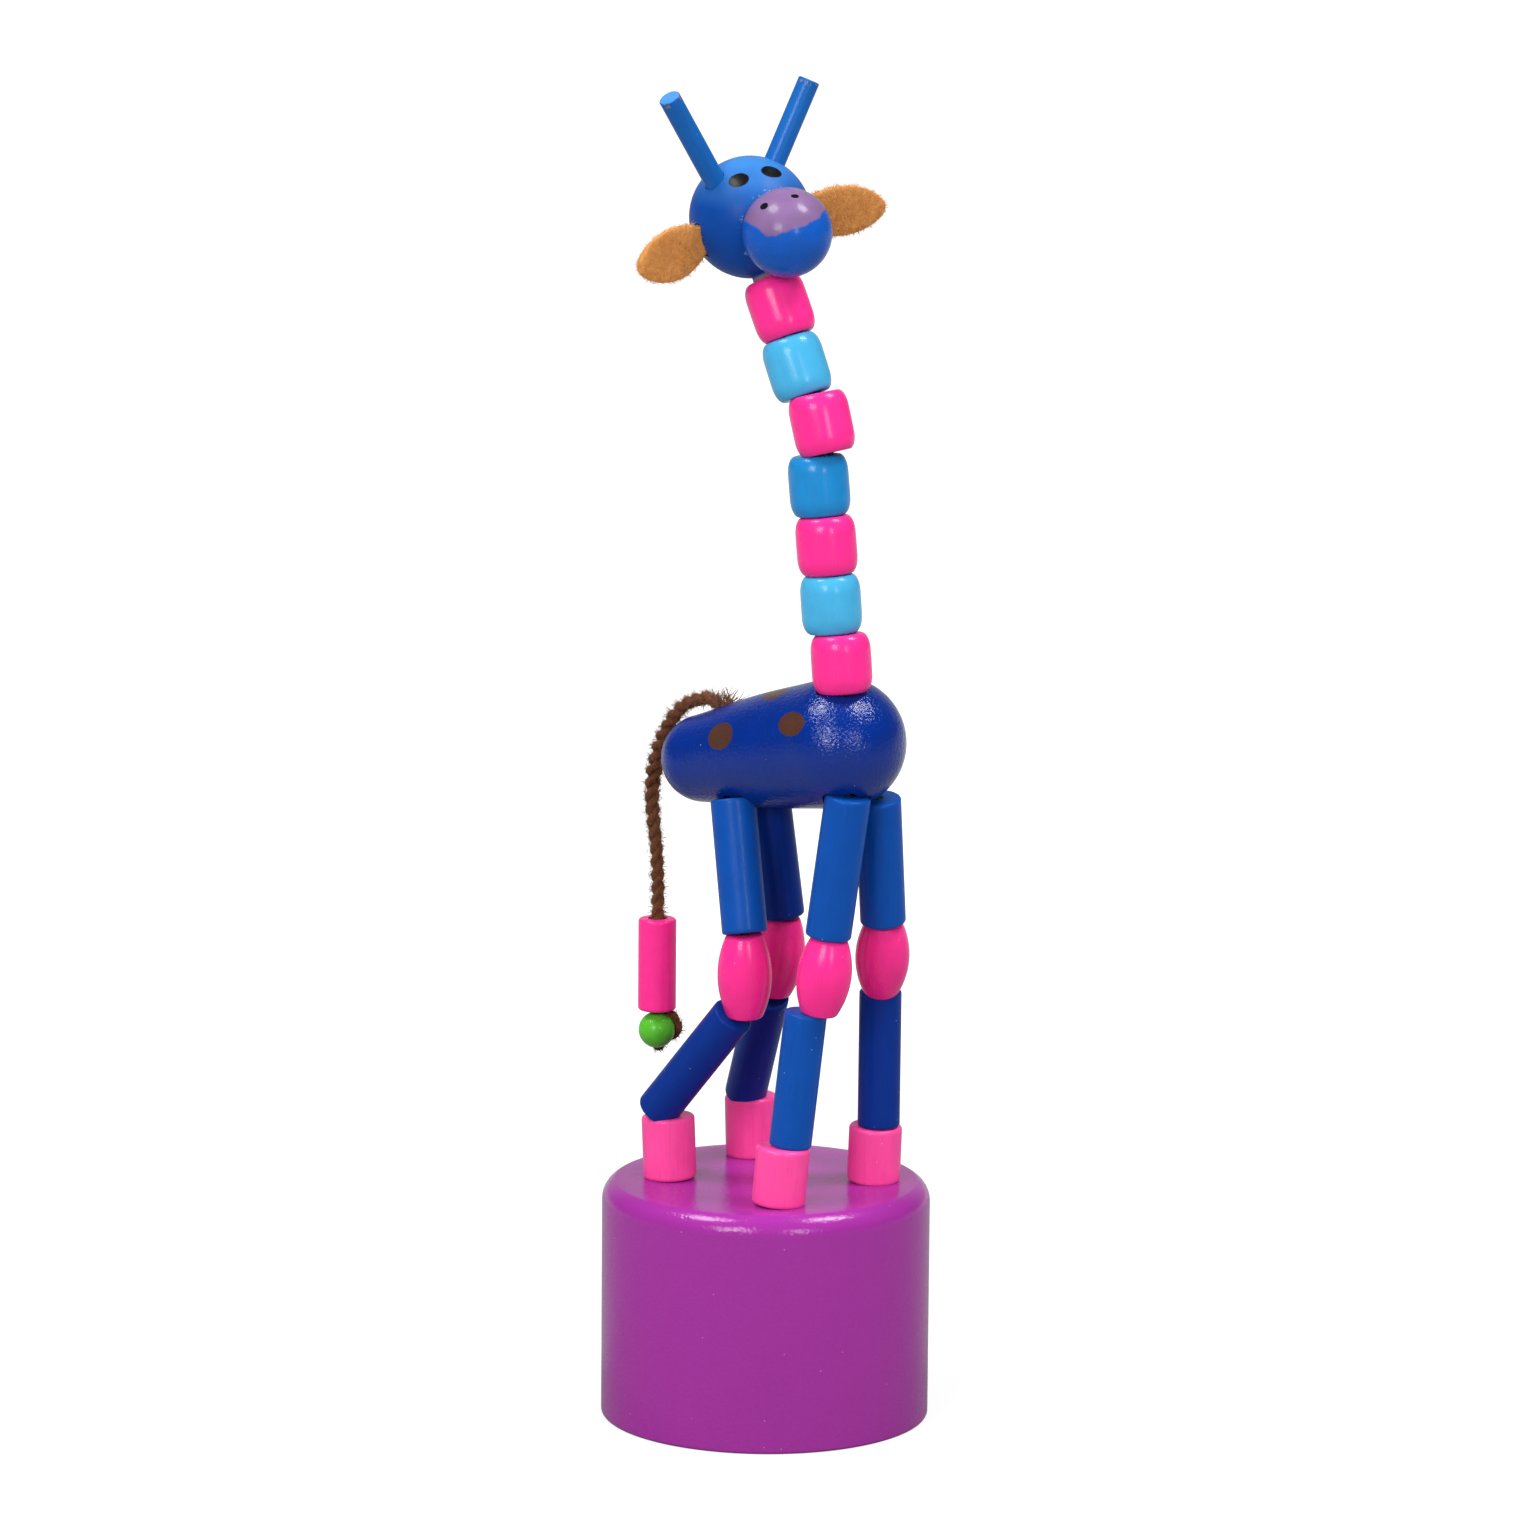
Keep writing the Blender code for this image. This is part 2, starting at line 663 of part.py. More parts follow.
def spring_points():
    """A helix between the button and the base's ceiling, with closer turns at both ends."""
    radius = (SPRING_BORE + SPRING_WIRE) / 2
    low = BUTTON_TOP + FIT_GAP + SPRING_WIRE / 2
    high = CEILING - FIT_GAP - SPRING_WIRE / 2
    active = (high - low - 2 * SPRING_END_PITCH) / (SPRING_TURNS - 2)
    points = []
    per_turn = 10
    for step in range(SPRING_TURNS * per_turn + 1):
        turn = step / per_turn
        middle = min(max(turn - 1, 0.0), SPRING_TURNS - 2)
        ends = turn - middle
        height = low + ends * SPRING_END_PITCH + middle * active
        angle = 2 * math.pi * turn
        points.append(Vector((radius * math.cos(angle), radius * math.sin(angle), height)))
    least = min(
        (points[i] - points[j]).length for i in range(len(points))
        for j in range(i + per_turn // 2, len(points)))
    print(f"least gap between the spring's turns: {(least - SPRING_WIRE) / MM:.2f} mm")
    return points


def make_spring():
    rod("return_spring", spring_points(), SPRING_WIRE, STEEL, resolution=1, metallic=1.0)


def leg_profile(piece):
    if piece == "knee":
        return barrel(KNEE_LENGTH, KNEE_DIAMETER, KNEE_END_DIAMETER, LEG_BORE)
    if piece == "hoof":
        return tube(HOOF_LENGTH, HOOF_DIAMETER, LEG_BORE, HOOF_ROUND)
    if piece == "shin":
        return tube(SHIN_LENGTH, SHIN_DIAMETER, LEG_BORE, TUBE_CHAMFER)
    return tube(THIGH_LENGTH, THIGH_DIAMETER, LEG_BORE, TUBE_CHAMFER)


def make_leg(leg):
    """A leg's four pieces, each hung on the rim that it rolls over when the strings go slack."""
    knees_forward = (1, 1, -1, -1)
    below_end = base_hole(leg.name)
    below_axis = Vector((0.0, 0.0, 1.0))
    reaches = (HOOF_DIAMETER / 2, *Leg.REACHES)
    for index, piece in enumerate(Leg.PIECES):
        foot, top = leg.ends[index]
        axis = leg.axes[index]
        colour = PINK if piece in ("hoof", "knee") else LEG_BLUE
        item = turned(
            f"{piece}_{leg.name}", leg_profile(piece), along((foot + top) / 2, axis), colour)
        side = knees_forward[index] * reaches[index]
        rim = rim_point((below_end, below_axis, side), (foot, axis, side))
        pivot(item, f"pivot_{piece}_{leg.name}", rim)
        below_end = top
        below_axis = axis


def body_profile():
    """The egg's outline, from its front end back to its rear end."""
    slope = math.degrees(math.asin((FRONT_RADIUS - REAR_RADIUS) / BODY_SPAN))
    front = arc((0.0, BODY_SPAN), FRONT_RADIUS, 90.0, -slope, 7)
    rear = arc((0.0, 0.0), REAR_RADIUS, -slope, -90.0, 5)
    waist = []
    rings = 6
    for step in range(1, rings):
        place = front[-1][1] + (rear[0][1] - front[-1][1]) * step / rings
        waist.append((egg_radius(place), place))
    return front + waist + rear


def string_side(name):
    """How far aside a leg's string runs from the middle, beside the other one of its pair."""
    left = 1 if name.endswith("left") else -1
    return body_direction(Vector((0.0, left, 0.0))) * (STRING_PAIR_SPACING / 2)


def hole_floors():
    """The bottoms of the neck hole and the rump hole, where the hip holes come in."""
    front = NECK.root - NECK.axes[0] * NECK_HOLE_DEPTH
    rear = rump_crest() - Vector((0.0, 0.0, RUMP_HOLE_DEPTH))
    return {"front": front, "rear": rear}


def string_bend(name):
    """Where a leg's string turns from its hip hole into the neck hole or the rump hole."""
    floor = hole_floors()[name.split("_")[0]]
    return floor + Vector((0.0, 0.0, HIP_HOLE_DIAMETER / 2)) + string_side(name)


def rump_crest():
    return body_point(-RUMP_HOLE_SETBACK, 0.0, crest_height(-RUMP_HOLE_SETBACK))


def make_body():
    axis = body_direction(egg_axis())
    rear_centre = body_point(0.0, 0.0, 0.0) - axis * BODY_SPAN
    body = turned("body", body_profile(), along(rear_centre, axis), BODY_BLUE, LARGE_TURN_STEPS, False)
    floors = hole_floors()
    up = NECK.axes[0]
    seat = NECK.root + NECK.slip(0)
    seat_diameter = NECK_BEAD_DIAMETER + 2 * FIT_GAP
    drill(body, "neck_seat", seat, seat + up * NECK_BEAD_LENGTH, seat_diameter, LARGE_TURN_STEPS)
    drill(body, "neck_hole", floors["front"], NECK.root + up * OVERRUN, NECK_BORE)
    over = Vector((0.0, 0.0, OVERRUN))
    drill(body, "rump_hole", floors["rear"], rump_crest() + over, RUMP_HOLE_DIAMETER)
    for name, leg in LEGS.items():
        bend = string_bend(name)
        below = leg.top() - (bend - leg.top()).normalized() * OVERRUN
        drill(body, f"hip_hole_{name}", below, bend, HIP_HOLE_DIAMETER)
    hip = LEGS[CARRYING_LEG].top()
    pivot(body, "pivot_body", hip + Vector((HIP_PIVOT_FORWARD, 0.0, -HIP_PIVOT_DOWN)))


def make_neck():
    """The neck beads, each hung on the still point of its motion from upright to folded."""
    reach = NECK_BEAD_END_DIAMETER / 2
    below = (NECK.root, NECK.axes[0], reach)
    motion = Matrix()
    for index in range(NECK_BEADS):
        foot, top = NECK.ends[index]
        slip = NECK.slip(index)
        profile = round_bead(
            NECK_BEAD_LENGTH, NECK_BEAD_DIAMETER, NECK_BEAD_END_DIAMETER, NECK_BORE, NECK_BEAD_ROUND)
        axis = NECK.axes[index]
        bead = turned(
            f"neck_bead_{index + 1}", profile, along((foot + top) / 2 + slip, axis), NECK_COLOURS[index])
        rim = rim_point(below, (foot + slip, axis, reach))
        motion = rolled(motion, rim, NECK_FOLD)
        hinge = still_point(motion, NECK_FOLD * (index + 1), rim)
        pivot(bead, f"pivot_neck_bead_{index + 1}", hinge)
        below = (top + slip, axis, reach)
    return below, motion


def head_turn():
    """The head's own frame: X out through the muzzle, Y to its left, Z up between the horns."""
    angles = (math.radians(-HEAD_ROLL), math.radians(HEAD_PITCH), math.radians(HEAD_YAW))
    return Euler(angles, "XYZ").to_matrix()


def make_head(below, motion):
    """The head ball on its stub, drilled up from below for the strings."""
    centre = NECK.head_centre()
    axis = NECK.axes[-1]
    stub = HEAD_STUB_DIAMETER / 2
    hole = NECK_BORE / 2
    end = -HEAD_RADIUS - HEAD_STUB_LENGTH
    stub_angle = -math.degrees(math.acos(stub / HEAD_RADIUS))
    profile = arc((0.0, 0.0), HEAD_RADIUS, 90.0, stub_angle, 12)
    profile += [(stub, end), (hole, end), (hole, end + HEAD_HOLE_DEPTH), (0.0, end + HEAD_HOLE_DEPTH)]
    head = turned("head_ball", profile, along(centre, axis), HEAD_BLUE, LARGE_TURN_STEPS, closed=False)
    rim = rim_point(below, (NECK.stub_end, axis, stub))
    motion = rolled(motion, rim, NECK_FOLD)
    pivot(head, "pivot_head", still_point(motion, NECK_FOLD * (NECK_BEADS + 1), rim))
    return head


def make_muzzle():
    """The muzzle ball, hollowed at the back to sit on the head ball."""
    centre = NECK.head_centre()
    forward = head_turn() @ Vector((1.0, 0.0, 0.0))
    profile = arc((0.0, 0.0), MUZZLE_DIAMETER / 2, 90.0, -90.0, 12)
    matrix = along(centre + forward * MUZZLE_REACH, forward)
    muzzle = turned("muzzle_ball", profile, matrix, HEAD_BLUE, 24, closed=False)
    mesh = bpy.data.meshes.new("head_shape")
    shape = bmesh.new()
    bmesh.ops.create_uvsphere(
        shape, u_segments=LARGE_TURN_STEPS, v_segments=24, radius=HEAD_RADIUS + GLUE_GAP)
    shape.to_mesh(mesh)
    shape.free()
    cut(muzzle, cutter_object("head_shape", mesh, along(centre, NECK.axes[-1])))


def make_horn(head, side):
    """A dowel let into a socket in the head."""
    centre = NECK.head_centre()
    turn = head_turn()
    left = 1 if side == "left" else -1
    spread = math.radians(HORN_SPREAD)
    splay = math.radians(HORN_SPLAYS[side])
    outward = turn @ Vector((0.0, left * math.sin(spread), math.cos(spread)))
    axis = turn @ Vector((0.0, left * math.sin(splay), math.cos(splay)))
    surface = centre + outward * HEAD_RADIUS
    floor = surface - axis * (HORN_SOCKET_DEPTH + FIT_GAP)
    drill(head, f"horn_socket_{side}", floor, surface + axis * OVERRUN, HORN_DIAMETER + 2 * GLUE_GAP)
    length = HORN_LENGTHS[side] + HORN_SOCKET_DEPTH
    middle = surface + axis * (HORN_LENGTHS[side] - HORN_SOCKET_DEPTH) / 2
    half = length / 2
    radius = HORN_DIAMETER / 2
    profile = [(0.0, half), (radius, half), (radius, -half), (0.0, -half)]
    turned(f"horn_{side}", profile, along(middle, axis), HEAD_BLUE, 12, closed=False)


def ear_outline(points=9):
    """A leaf's outline: its root lies at the origin and its tip along +X."""
    length = EAR_LENGTH + EAR_ROOT
    upper = []
    for step in range(points + 1):
        share = step / points
        width = EAR_WIDTH / 2 * math.sin(math.pi * share ** 1.05) ** 0.55
        upper.append((length * share, width))
    return upper + [(x, -y) for x, y in reversed(upper[1:-1])]


def make_ear(head, side):
    """A felt leaf whose root is let into a slot in the head."""
    left = 1 if side == "left" else -1
    droop = math.radians(EAR_DROOPS[side])
    turn = head_turn()
    outward = turn @ Vector((0.0, left * math.cos(droop), -math.sin(droop)))
    facing = turn @ Vector((1.0, 0.0, 0.0))
    across = facing.cross(outward)
    frame = Matrix((outward, across, facing)).transposed().to_4x4()
    root = NECK.head_centre() + outward * (HEAD_RADIUS - EAR_ROOT)
    matrix = Matrix.Translation(root) @ frame
    outline = ear_outline()
    curve = bpy.data.curves.new(f"ear_{side}", "CURVE")
    curve.dimensions = "2D"
    curve.fill_mode = "BOTH"
    curve.extrude = EAR_THICKNESS / 2
    spline = curve.splines.new("POLY")
    spline.points.add(len(outline) - 1)
    for index, (x, y) in enumerate(outline):
        spline.points[index].co = (x, y, 0.0, 1.0)
    spline.use_cyclic_u = True
    ear = bpy.data.objects.new(f"ear_{side}", curve)
    ear.matrix_world = matrix
    PARTS.objects.link(ear)
    paint(ear, FELT)
    mesh = bpy.data.meshes.new(f"ear_slot_{side}")
    shape = bmesh.new()
    bmesh.ops.create_cube(shape, size=1.0)
    size = Vector((
        2 * (EAR_ROOT + FIT_GAP), EAR_WIDTH + 2 * FIT_GAP, EAR_THICKNESS + 2 * FIT_GAP))
    bmesh.ops.scale(shape, vec=size, verts=shape.verts)
    shape.to_mesh(mesh)
    shape.free()
    slot = Matrix.Translation(root + outward * EAR_ROOT) @ frame
    cut(head, cutter_object(f"ear_slot_{side}", mesh, slot))


def string_route(name):
    """A string's points from its knot under the button to its far end, and their widths."""
    leg = LEGS[name]
    top = button_hole(name)
    knot = KNOT_DIAMETER / STRING_DIAMETER
    pocket = top.z - BUTTON_THICKNESS + KNOT_POCKET_DEPTH - FIT_GAP
    half = KNOT_DIAMETER / 2
    heights = (pocket - 2 * half, pocket - 1.6 * half, pocket - half, pocket - 0.4 * half, pocket)
    points = [Vector((top.x, top.y, height)) for height in heights]
    widths = [0.5, 0.8 * knot, knot, 0.8 * knot, 1.0]
    hole = base_hole(name)
    route = [top, Vector((hole.x, hole.y, CEILING))]
    route += [*leg.joints, leg.top()]
    aside = string_side(name)
    route.append(string_bend(name))
    if name.startswith("front"):
        for foot, end in NECK.ends:
            route += [foot + aside, end + aside]
        route.append(NECK.stub_end + NECK.axes[-1] * (HEAD_HOLE_DEPTH - 2 * FIT_GAP) + aside)
    else:
        route.append(rump_crest() - Vector((0.0, 0.0, RUMP_HOLE_DEPTH / 2)) + aside)
    return points + route, widths + [1.0] * len(route)


def make_strings():
    for name in LEG_SIDES:
        points, widths = string_route(name)
        rod(f"string_{name}", points, STRING_DIAMETER, STRING, widths, resolution=1)


def make_tail():
    """The yarn in two lengths that meet at the rump's edge, and the bead and ball on it."""
    root = smooth_route(TAIL_ROUTE[:TAIL_ROOT_POINTS], 2)
    rod("tail_yarn_root", root, YARN_DIAMETER, YARN)
    hang = list(TAIL_ROUTE[TAIL_ROOT_POINTS - 1:])
    meeting = hang[0]
    down = (hang[1] - meeting).normalized()
    outer = Vector((down.z, 0.0, -down.x)).normalized() * YARN_DIAMETER / 2
    hinge = meeting + outer
    hang[0] = meeting + down * FIT_GAP
    points = smooth_route(hang, 2)
    end = hang[-1]
    bead_top = end - Vector((0.0, 0.0, FIT_GAP))
    bead_end = bead_top - Vector((0.0, 0.0, TAIL_BEAD_LENGTH))
    ball_radius = TAIL_BALL_DIAMETER / 2
    ball = bead_end - Vector((0.0, 0.0, FIT_GAP + ball_radius))
    widths = [1.0] * len(points)
    ply = YARN_PLY_DIAMETER / YARN_DIAMETER
    points += [bead_end + Vector((0.0, 0.0, TAIL_BEAD_LENGTH / 2)), bead_end]
    widths += [1.0, ply]
    loop = ball_radius + YARN_PLY_DIAMETER / 2 + FIT_GAP
    side = TAIL_LOOP_SIDE.normalized()
    for angle in (-90.0, -70.0, -45.0, -20.0, 5.0, 28.0):
        turn = math.radians(angle)
        points.append(ball + side * loop * math.cos(turn) + Vector((0.0, 0.0, loop * math.sin(turn))))
        widths.append(ply)
    yarn = rod("tail_yarn", points, YARN_DIAMETER, YARN, widths)
    pivot(yarn, "pivot_tail", hinge)
    profile = tube(TAIL_BEAD_LENGTH, TAIL_BEAD_DIAMETER, TAIL_BEAD_BORE, TAIL_BEAD_CHAMFER)
    matrix = Matrix.Translation((bead_top + bead_end) / 2)
    bead = turned("tail_bead", profile, matrix, PINK)
    pivot(bead, "pivot_tail_bead", hinge)
    hole = TAIL_BALL_BORE / 2
    edge = math.degrees(math.acos(hole / ball_radius))
    profile = arc((0.0, 0.0), ball_radius, edge, -edge, 8)
    green = turned("tail_ball", profile, Matrix.Translation(ball), GREEN)
    pivot(green, "pivot_tail_ball", hinge)


def main():
    make_base()
    make_button()
    make_spring()
    for leg in LEGS.values():
        make_leg(leg)
    make_body()
    head = make_head(*make_neck())
    make_muzzle()
    for side in ("left", "right"):
        make_horn(head, side)
        make_ear(head, side)
    make_strings()
    make_tail()
    bpy.context.view_layer.update()


main()
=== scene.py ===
# %% [markdown]
# # A thumb push puppet
#
# This lesson dresses a giraffe push puppet: turned wooden beads, strung over a drum that hides a
# sprung button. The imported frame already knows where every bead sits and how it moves. Each cell
# measures a piece in that frame, rebuilds it smooth, and gives it a finish. Lengths are metres.

# %% Load the frame
import json
import math

import bmesh
import bpy
import numpy as np
from mathutils import Matrix, Vector

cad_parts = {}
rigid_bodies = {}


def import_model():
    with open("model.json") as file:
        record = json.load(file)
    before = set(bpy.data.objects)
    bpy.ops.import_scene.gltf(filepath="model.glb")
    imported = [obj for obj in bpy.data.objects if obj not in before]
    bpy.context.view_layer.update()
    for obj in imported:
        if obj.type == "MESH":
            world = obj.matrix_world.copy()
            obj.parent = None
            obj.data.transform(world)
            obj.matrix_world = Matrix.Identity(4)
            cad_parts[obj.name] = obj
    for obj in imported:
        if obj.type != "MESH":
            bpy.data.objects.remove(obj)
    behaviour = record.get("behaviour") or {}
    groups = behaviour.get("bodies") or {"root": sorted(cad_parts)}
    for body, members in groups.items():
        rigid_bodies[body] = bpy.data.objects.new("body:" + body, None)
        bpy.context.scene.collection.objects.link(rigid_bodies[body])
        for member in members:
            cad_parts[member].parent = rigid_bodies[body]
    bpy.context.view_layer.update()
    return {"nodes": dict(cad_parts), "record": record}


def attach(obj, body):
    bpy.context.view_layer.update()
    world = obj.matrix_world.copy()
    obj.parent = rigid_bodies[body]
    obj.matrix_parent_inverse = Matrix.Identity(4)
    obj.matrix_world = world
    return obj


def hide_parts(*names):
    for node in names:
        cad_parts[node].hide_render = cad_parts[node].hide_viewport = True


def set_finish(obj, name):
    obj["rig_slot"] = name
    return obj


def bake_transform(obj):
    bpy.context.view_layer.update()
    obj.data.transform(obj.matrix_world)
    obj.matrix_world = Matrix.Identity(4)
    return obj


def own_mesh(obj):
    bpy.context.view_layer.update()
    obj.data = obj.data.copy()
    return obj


MM = 0.001
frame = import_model()

# %% [markdown]
# ## The camera
#
# The camera looks down a little at the puppet's front right, through a long lens, as in a
# catalogue picture. A long lens keeps the stacked beads from swelling towards the viewer. The
# small shift and roll put the toy where the picture frames it.

# %% Place the camera
VIEW_AZIMUTH = math.radians(41.5)
VIEW_ELEVATION = math.radians(10.453)
VIEW_DISTANCE = 970 * MM
VIEW_AIM = Vector((0.0, 0.0, 88 * MM))
VIEW_ROLL = 0.0085
LENS_MM, SENSOR_MM = 180.2, 36.0
LENS_SHIFT = (-0.0032, -0.0174)

view_back = Vector((
    math.sin(VIEW_AZIMUTH) * math.cos(VIEW_ELEVATION),
    -math.cos(VIEW_AZIMUTH) * math.cos(VIEW_ELEVATION),
    math.sin(VIEW_ELEVATION)))
camera_data = bpy.data.cameras.new("camera")
camera_data.sensor_width = SENSOR_MM
camera_data.lens = LENS_MM
camera_data.shift_x, camera_data.shift_y = LENS_SHIFT
camera_data.clip_start = 10 * MM
camera = bpy.data.objects.new("camera", camera_data)
camera_turn = view_back.to_track_quat("Z", "Y").to_matrix().to_4x4()
camera_place = Matrix.Translation(VIEW_AIM + view_back * VIEW_DISTANCE)
camera.matrix_world = camera_place @ camera_turn @ Matrix.Rotation(VIEW_ROLL, 4, "Z")
bpy.context.scene.collection.objects.link(camera)
bpy.context.scene.camera = camera
print("camera at", [round(value, 3) for value in camera.matrix_world.translation])

# %% [markdown]
# ## Small helpers
#
# Most nodes in a tree are the same few kinds, so short helpers keep the trees readable: they add a
# node, spread some noise or mix two colours. A small class lets sums be written in the usual way, and
# each sign adds its node. One helper turns a colour seen on screen into the linear values that Blender
# works in. A second cell has helpers for meshes.


# %% Helpers for node trees
class Number:
    """A number in a node tree, for sums in the usual signs."""

    def __init__(self, tree, socket):
        self.tree, self.socket = tree, socket

    def do(self, operation, *others):
        return calc(self.tree, operation, self, *others)

    def __add__(self, other):
        return self.do("ADD", other)

    def __sub__(self, other):
        return self.do("SUBTRACT", other)

    def __rsub__(self, other):
        return calc(self.tree, "SUBTRACT", other, self)

    def __mul__(self, other):
        return self.do("MULTIPLY", other)

    def __truediv__(self, other):
        return self.do("DIVIDE", other)

    def __gt__(self, other):
        return self.do("GREATER_THAN", other)

    def __lt__(self, other):
        return self.do("LESS_THAN", other)


def feed(tree, socket, value):
    """Link a socket to another, or set its value."""
    value = value.socket if isinstance(value, Number) else value
    if isinstance(value, bpy.types.NodeSocket):
        tree.links.new(value, socket)
    else:
        socket.default_value = value


def add(tree, kind, settings=None, **values):
    """Add a node, with settings as attributes and values for its named inputs."""
    node = tree.nodes.new(kind)
    for name, value in (settings or {}).items():
        setattr(node, name, value)
    for name, value in values.items():
        feed(tree, node.inputs[name.replace("_", " ")], value)
    return node


def calc(tree, operation, *values):
    """One sum on numbers or sockets."""
    node = add(tree, "ShaderNodeMath", {"operation": operation})
    for socket, value in zip(node.inputs, values):
        feed(tree, socket, value)
    return Number(tree, node.outputs[0])


def vector_calc(tree, operation, *values):
    """One sum on vectors, as the outputs of its node."""
    node = add(tree, "ShaderNodeVectorMath", {"operation": operation})
    for socket, value in zip(node.inputs, values):
        feed(tree, socket, value)
    return node.outputs


def noise(tree, place, size, detail, **more):
    """The value of a noise texture at a place."""
    node = add(tree, "ShaderNodeTexNoise", Vector=place, Scale=size, Detail=detail, **more)
    return Number(tree, node.outputs[0])


def ragged(tree, place, size, amount):
    """Noise round zero, to waver an edge or a shade."""
    return (noise(tree, place, size, 3.0) - 0.5) * amount


def ramp(tree, value, low, high):
    """How far a value has gone from a low one to a high one, from 0 to 1."""
    node = add(tree, "ShaderNodeMapRange", Value=value, From_Min=low, From_Max=high)
    return Number(tree, node.outputs[0])


def stretched(tree, place, *scale):
    """A place, scaled by a factor in each direction."""
    return add(tree, "ShaderNodeMapping", Vector=place, Scale=scale).outputs[0]


def stored(tree, name):
    """The vector that a mesh stores under a name."""
    return add(tree, "ShaderNodeAttribute", {"attribute_name": name}).outputs["Vector"]


def mix_colour(tree, share, below, above):
    """One colour over another, by a share."""
    node = add(tree, "ShaderNodeMix", {"data_type": "RGBA"}, Factor=share)
    feed(tree, node.inputs[6], below)
    feed(tree, node.inputs[7], above)
    return node.outputs[2]


def mix_number(tree, share, below, above):
    """One number over another, by a share."""
    node = add(tree, "ShaderNodeMix", {"data_type": "FLOAT"}, Factor=share)
    feed(tree, node.inputs[2], below)
    feed(tree, node.inputs[3], above)
    return Number(tree, node.outputs[0])


def seen(red, green, blue):
    """A colour as seen on a screen, from 0 to 255, in linear values."""
    channels = [value / 255 for value in (red, green, blue)]
    linear = [c / 12.92 if c <= 0.04045 else ((c + 0.055) / 1.055) ** 2.4 for c in channels]
    return (*linear, 1.0)


def new_group(name, kind, inputs, outputs):
    """A node group, what it is given by name, and its result node. Inputs are (name, type, default)."""
    group = bpy.data.node_groups.new(name, kind)
    for title, socket_type, default in inputs:
        socket = group.interface.new_socket(title, in_out="INPUT", socket_type=socket_type)
        if default is not None:
            socket.default_value = default
    for title, socket_type in outputs:
        group.interface.new_socket(title, in_out="OUTPUT", socket_type=socket_type)
    source = group.nodes.new("NodeGroupInput")
    given = {title: Number(group, source.outputs[title]) for title, _, _ in inputs}
    return group, given, group.nodes.new("NodeGroupOutput")


def new_material(name):
    """A new material, its node tree and its main shader."""
    material = bpy.data.materials.new(name)
    material.use_nodes = True
    return material, material.node_tree, material.node_tree.nodes["Principled BSDF"]


def lay_finish(tree, shader, colour, rough, height, strength, depth):
    """Give a shader its colour, roughness and relief, and return the relief's normal."""
    normal = add(tree, "ShaderNodeBump", Height=height, Strength=strength, Distance=depth).outputs[0]
    feed(tree, shader.inputs["Base Color"], colour)
    feed(tree, shader.inputs["Roughness"], rough)
    feed(tree, shader.inputs["Normal"], normal)
    return normal


# %% Helpers for meshes
SMOOTH_ANGLE = 40.0


def put(name, data):
    """A new object in the scene, for a mesh or a lamp."""
    item = bpy.data.objects.new(name, data)
    bpy.context.scene.collection.objects.link(item)
    return item


def smooth_up_to(mesh, angle=SMOOTH_ANGLE):
    """Shade a mesh smooth, but for edges sharper than an angle in degrees."""
    mesh.shade_smooth()
    mesh.set_sharp_from_angle(angle=math.radians(angle))


def finished_mesh(name, shape, smooth_angle=SMOOTH_ANGLE):
    """Turn a mesh under construction into an object that is smooth up to an angle."""
    bmesh.ops.recalc_face_normals(shape, faces=shape.faces)
    mesh = bpy.data.meshes.new(name)
    shape.to_mesh(mesh)
    shape.free()
    smooth_up_to(mesh, smooth_angle)
    return put(name, mesh)


def skin(shape, rings, loop=False):
    """Join rings of points with faces. A ring of one point makes a tip."""
    steps = max(len(ring) for ring in rings)
    for low, high in list(zip(rings, rings[1:])) + ([(rings[-1], rings[0])] if loop else []):
        for i in range(steps):
            corners = [low[i % len(low)], low[(i + 1) % len(low)],
                       high[(i + 1) % len(high)], high[i % len(high)]]
            corners = list(dict.fromkeys(corners))
            if len(corners) > 2:
                shape.faces.new(corners)


# %% [markdown]
# ## Measuring the frame
#
# A turned piece is the same all round its axis, so the spread of its corner points is equal in two
# directions and odd in the third. The odd direction is the axis. From it come the length, the
# radius, the radius of the flat end, and the bore.


# %% Measure turned pieces
END_BAND = 0.05 * MM
FIT_ROUNDS = 12
FIT_PERCENT = 60
FIT_LEAST = 0.02 * MM


def points_of(node):
    """A solid's corner points, each once."""
    corners = np.array([vertex.co for vertex in frame["nodes"][node].data.vertices])
    return np.unique(corners.round(7), axis=0)


def aim_matrix(middle, axis):
    """The matrix that puts local Z at a point, along an axis."""
    turn = Vector((0.0, 0.0, 1.0)).rotation_difference(Vector(axis))
    return Matrix.Translation(Vector(middle)) @ turn.to_matrix().to_4x4()


def measure_turned(node):
    """A turned piece's middle, axis, length, radius, end radius and bore radius."""
    points = points_of(node)
    middle = points.mean(axis=0)
    spread, axes = np.linalg.eigh(np.cov((points - middle).T))
    axis = axes[:, int(np.argmax(np.abs(spread - np.median(spread))))]
    axis = axis * np.sign(axis[2])
    height = (points - middle) @ axis
    middle = middle + axis * (height.max() + height.min()) / 2
    offset = points - middle
    height = offset @ axis
    away = np.linalg.norm(offset - np.outer(height, axis), axis=1)
    half = height.max()
    return {
        "middle": Vector(middle), "axis": Vector(axis), "length": 2 * half, "radius": away.max(),
        "end": away[height > half - END_BAND].max(), "bore": away.min()}


def measure_ball(points):
    """The centre and radius of the ball that most of the points lie on, fitted anew to the nearest."""
    kept = points
    for _ in range(FIT_ROUNDS):
        rows = np.c_[2 * kept, np.ones(len(kept))]
        answer = np.linalg.lstsq(rows, (kept ** 2).sum(axis=1), rcond=None)[0]
        centre = answer[:3]
        radius = math.sqrt(answer[3] + centre @ centre)
        error = np.abs(np.linalg.norm(points - centre, axis=1) - radius)
        kept = points[error <= max(np.percentile(error, FIT_PERCENT), FIT_LEAST)]
    return Vector(centre), radius


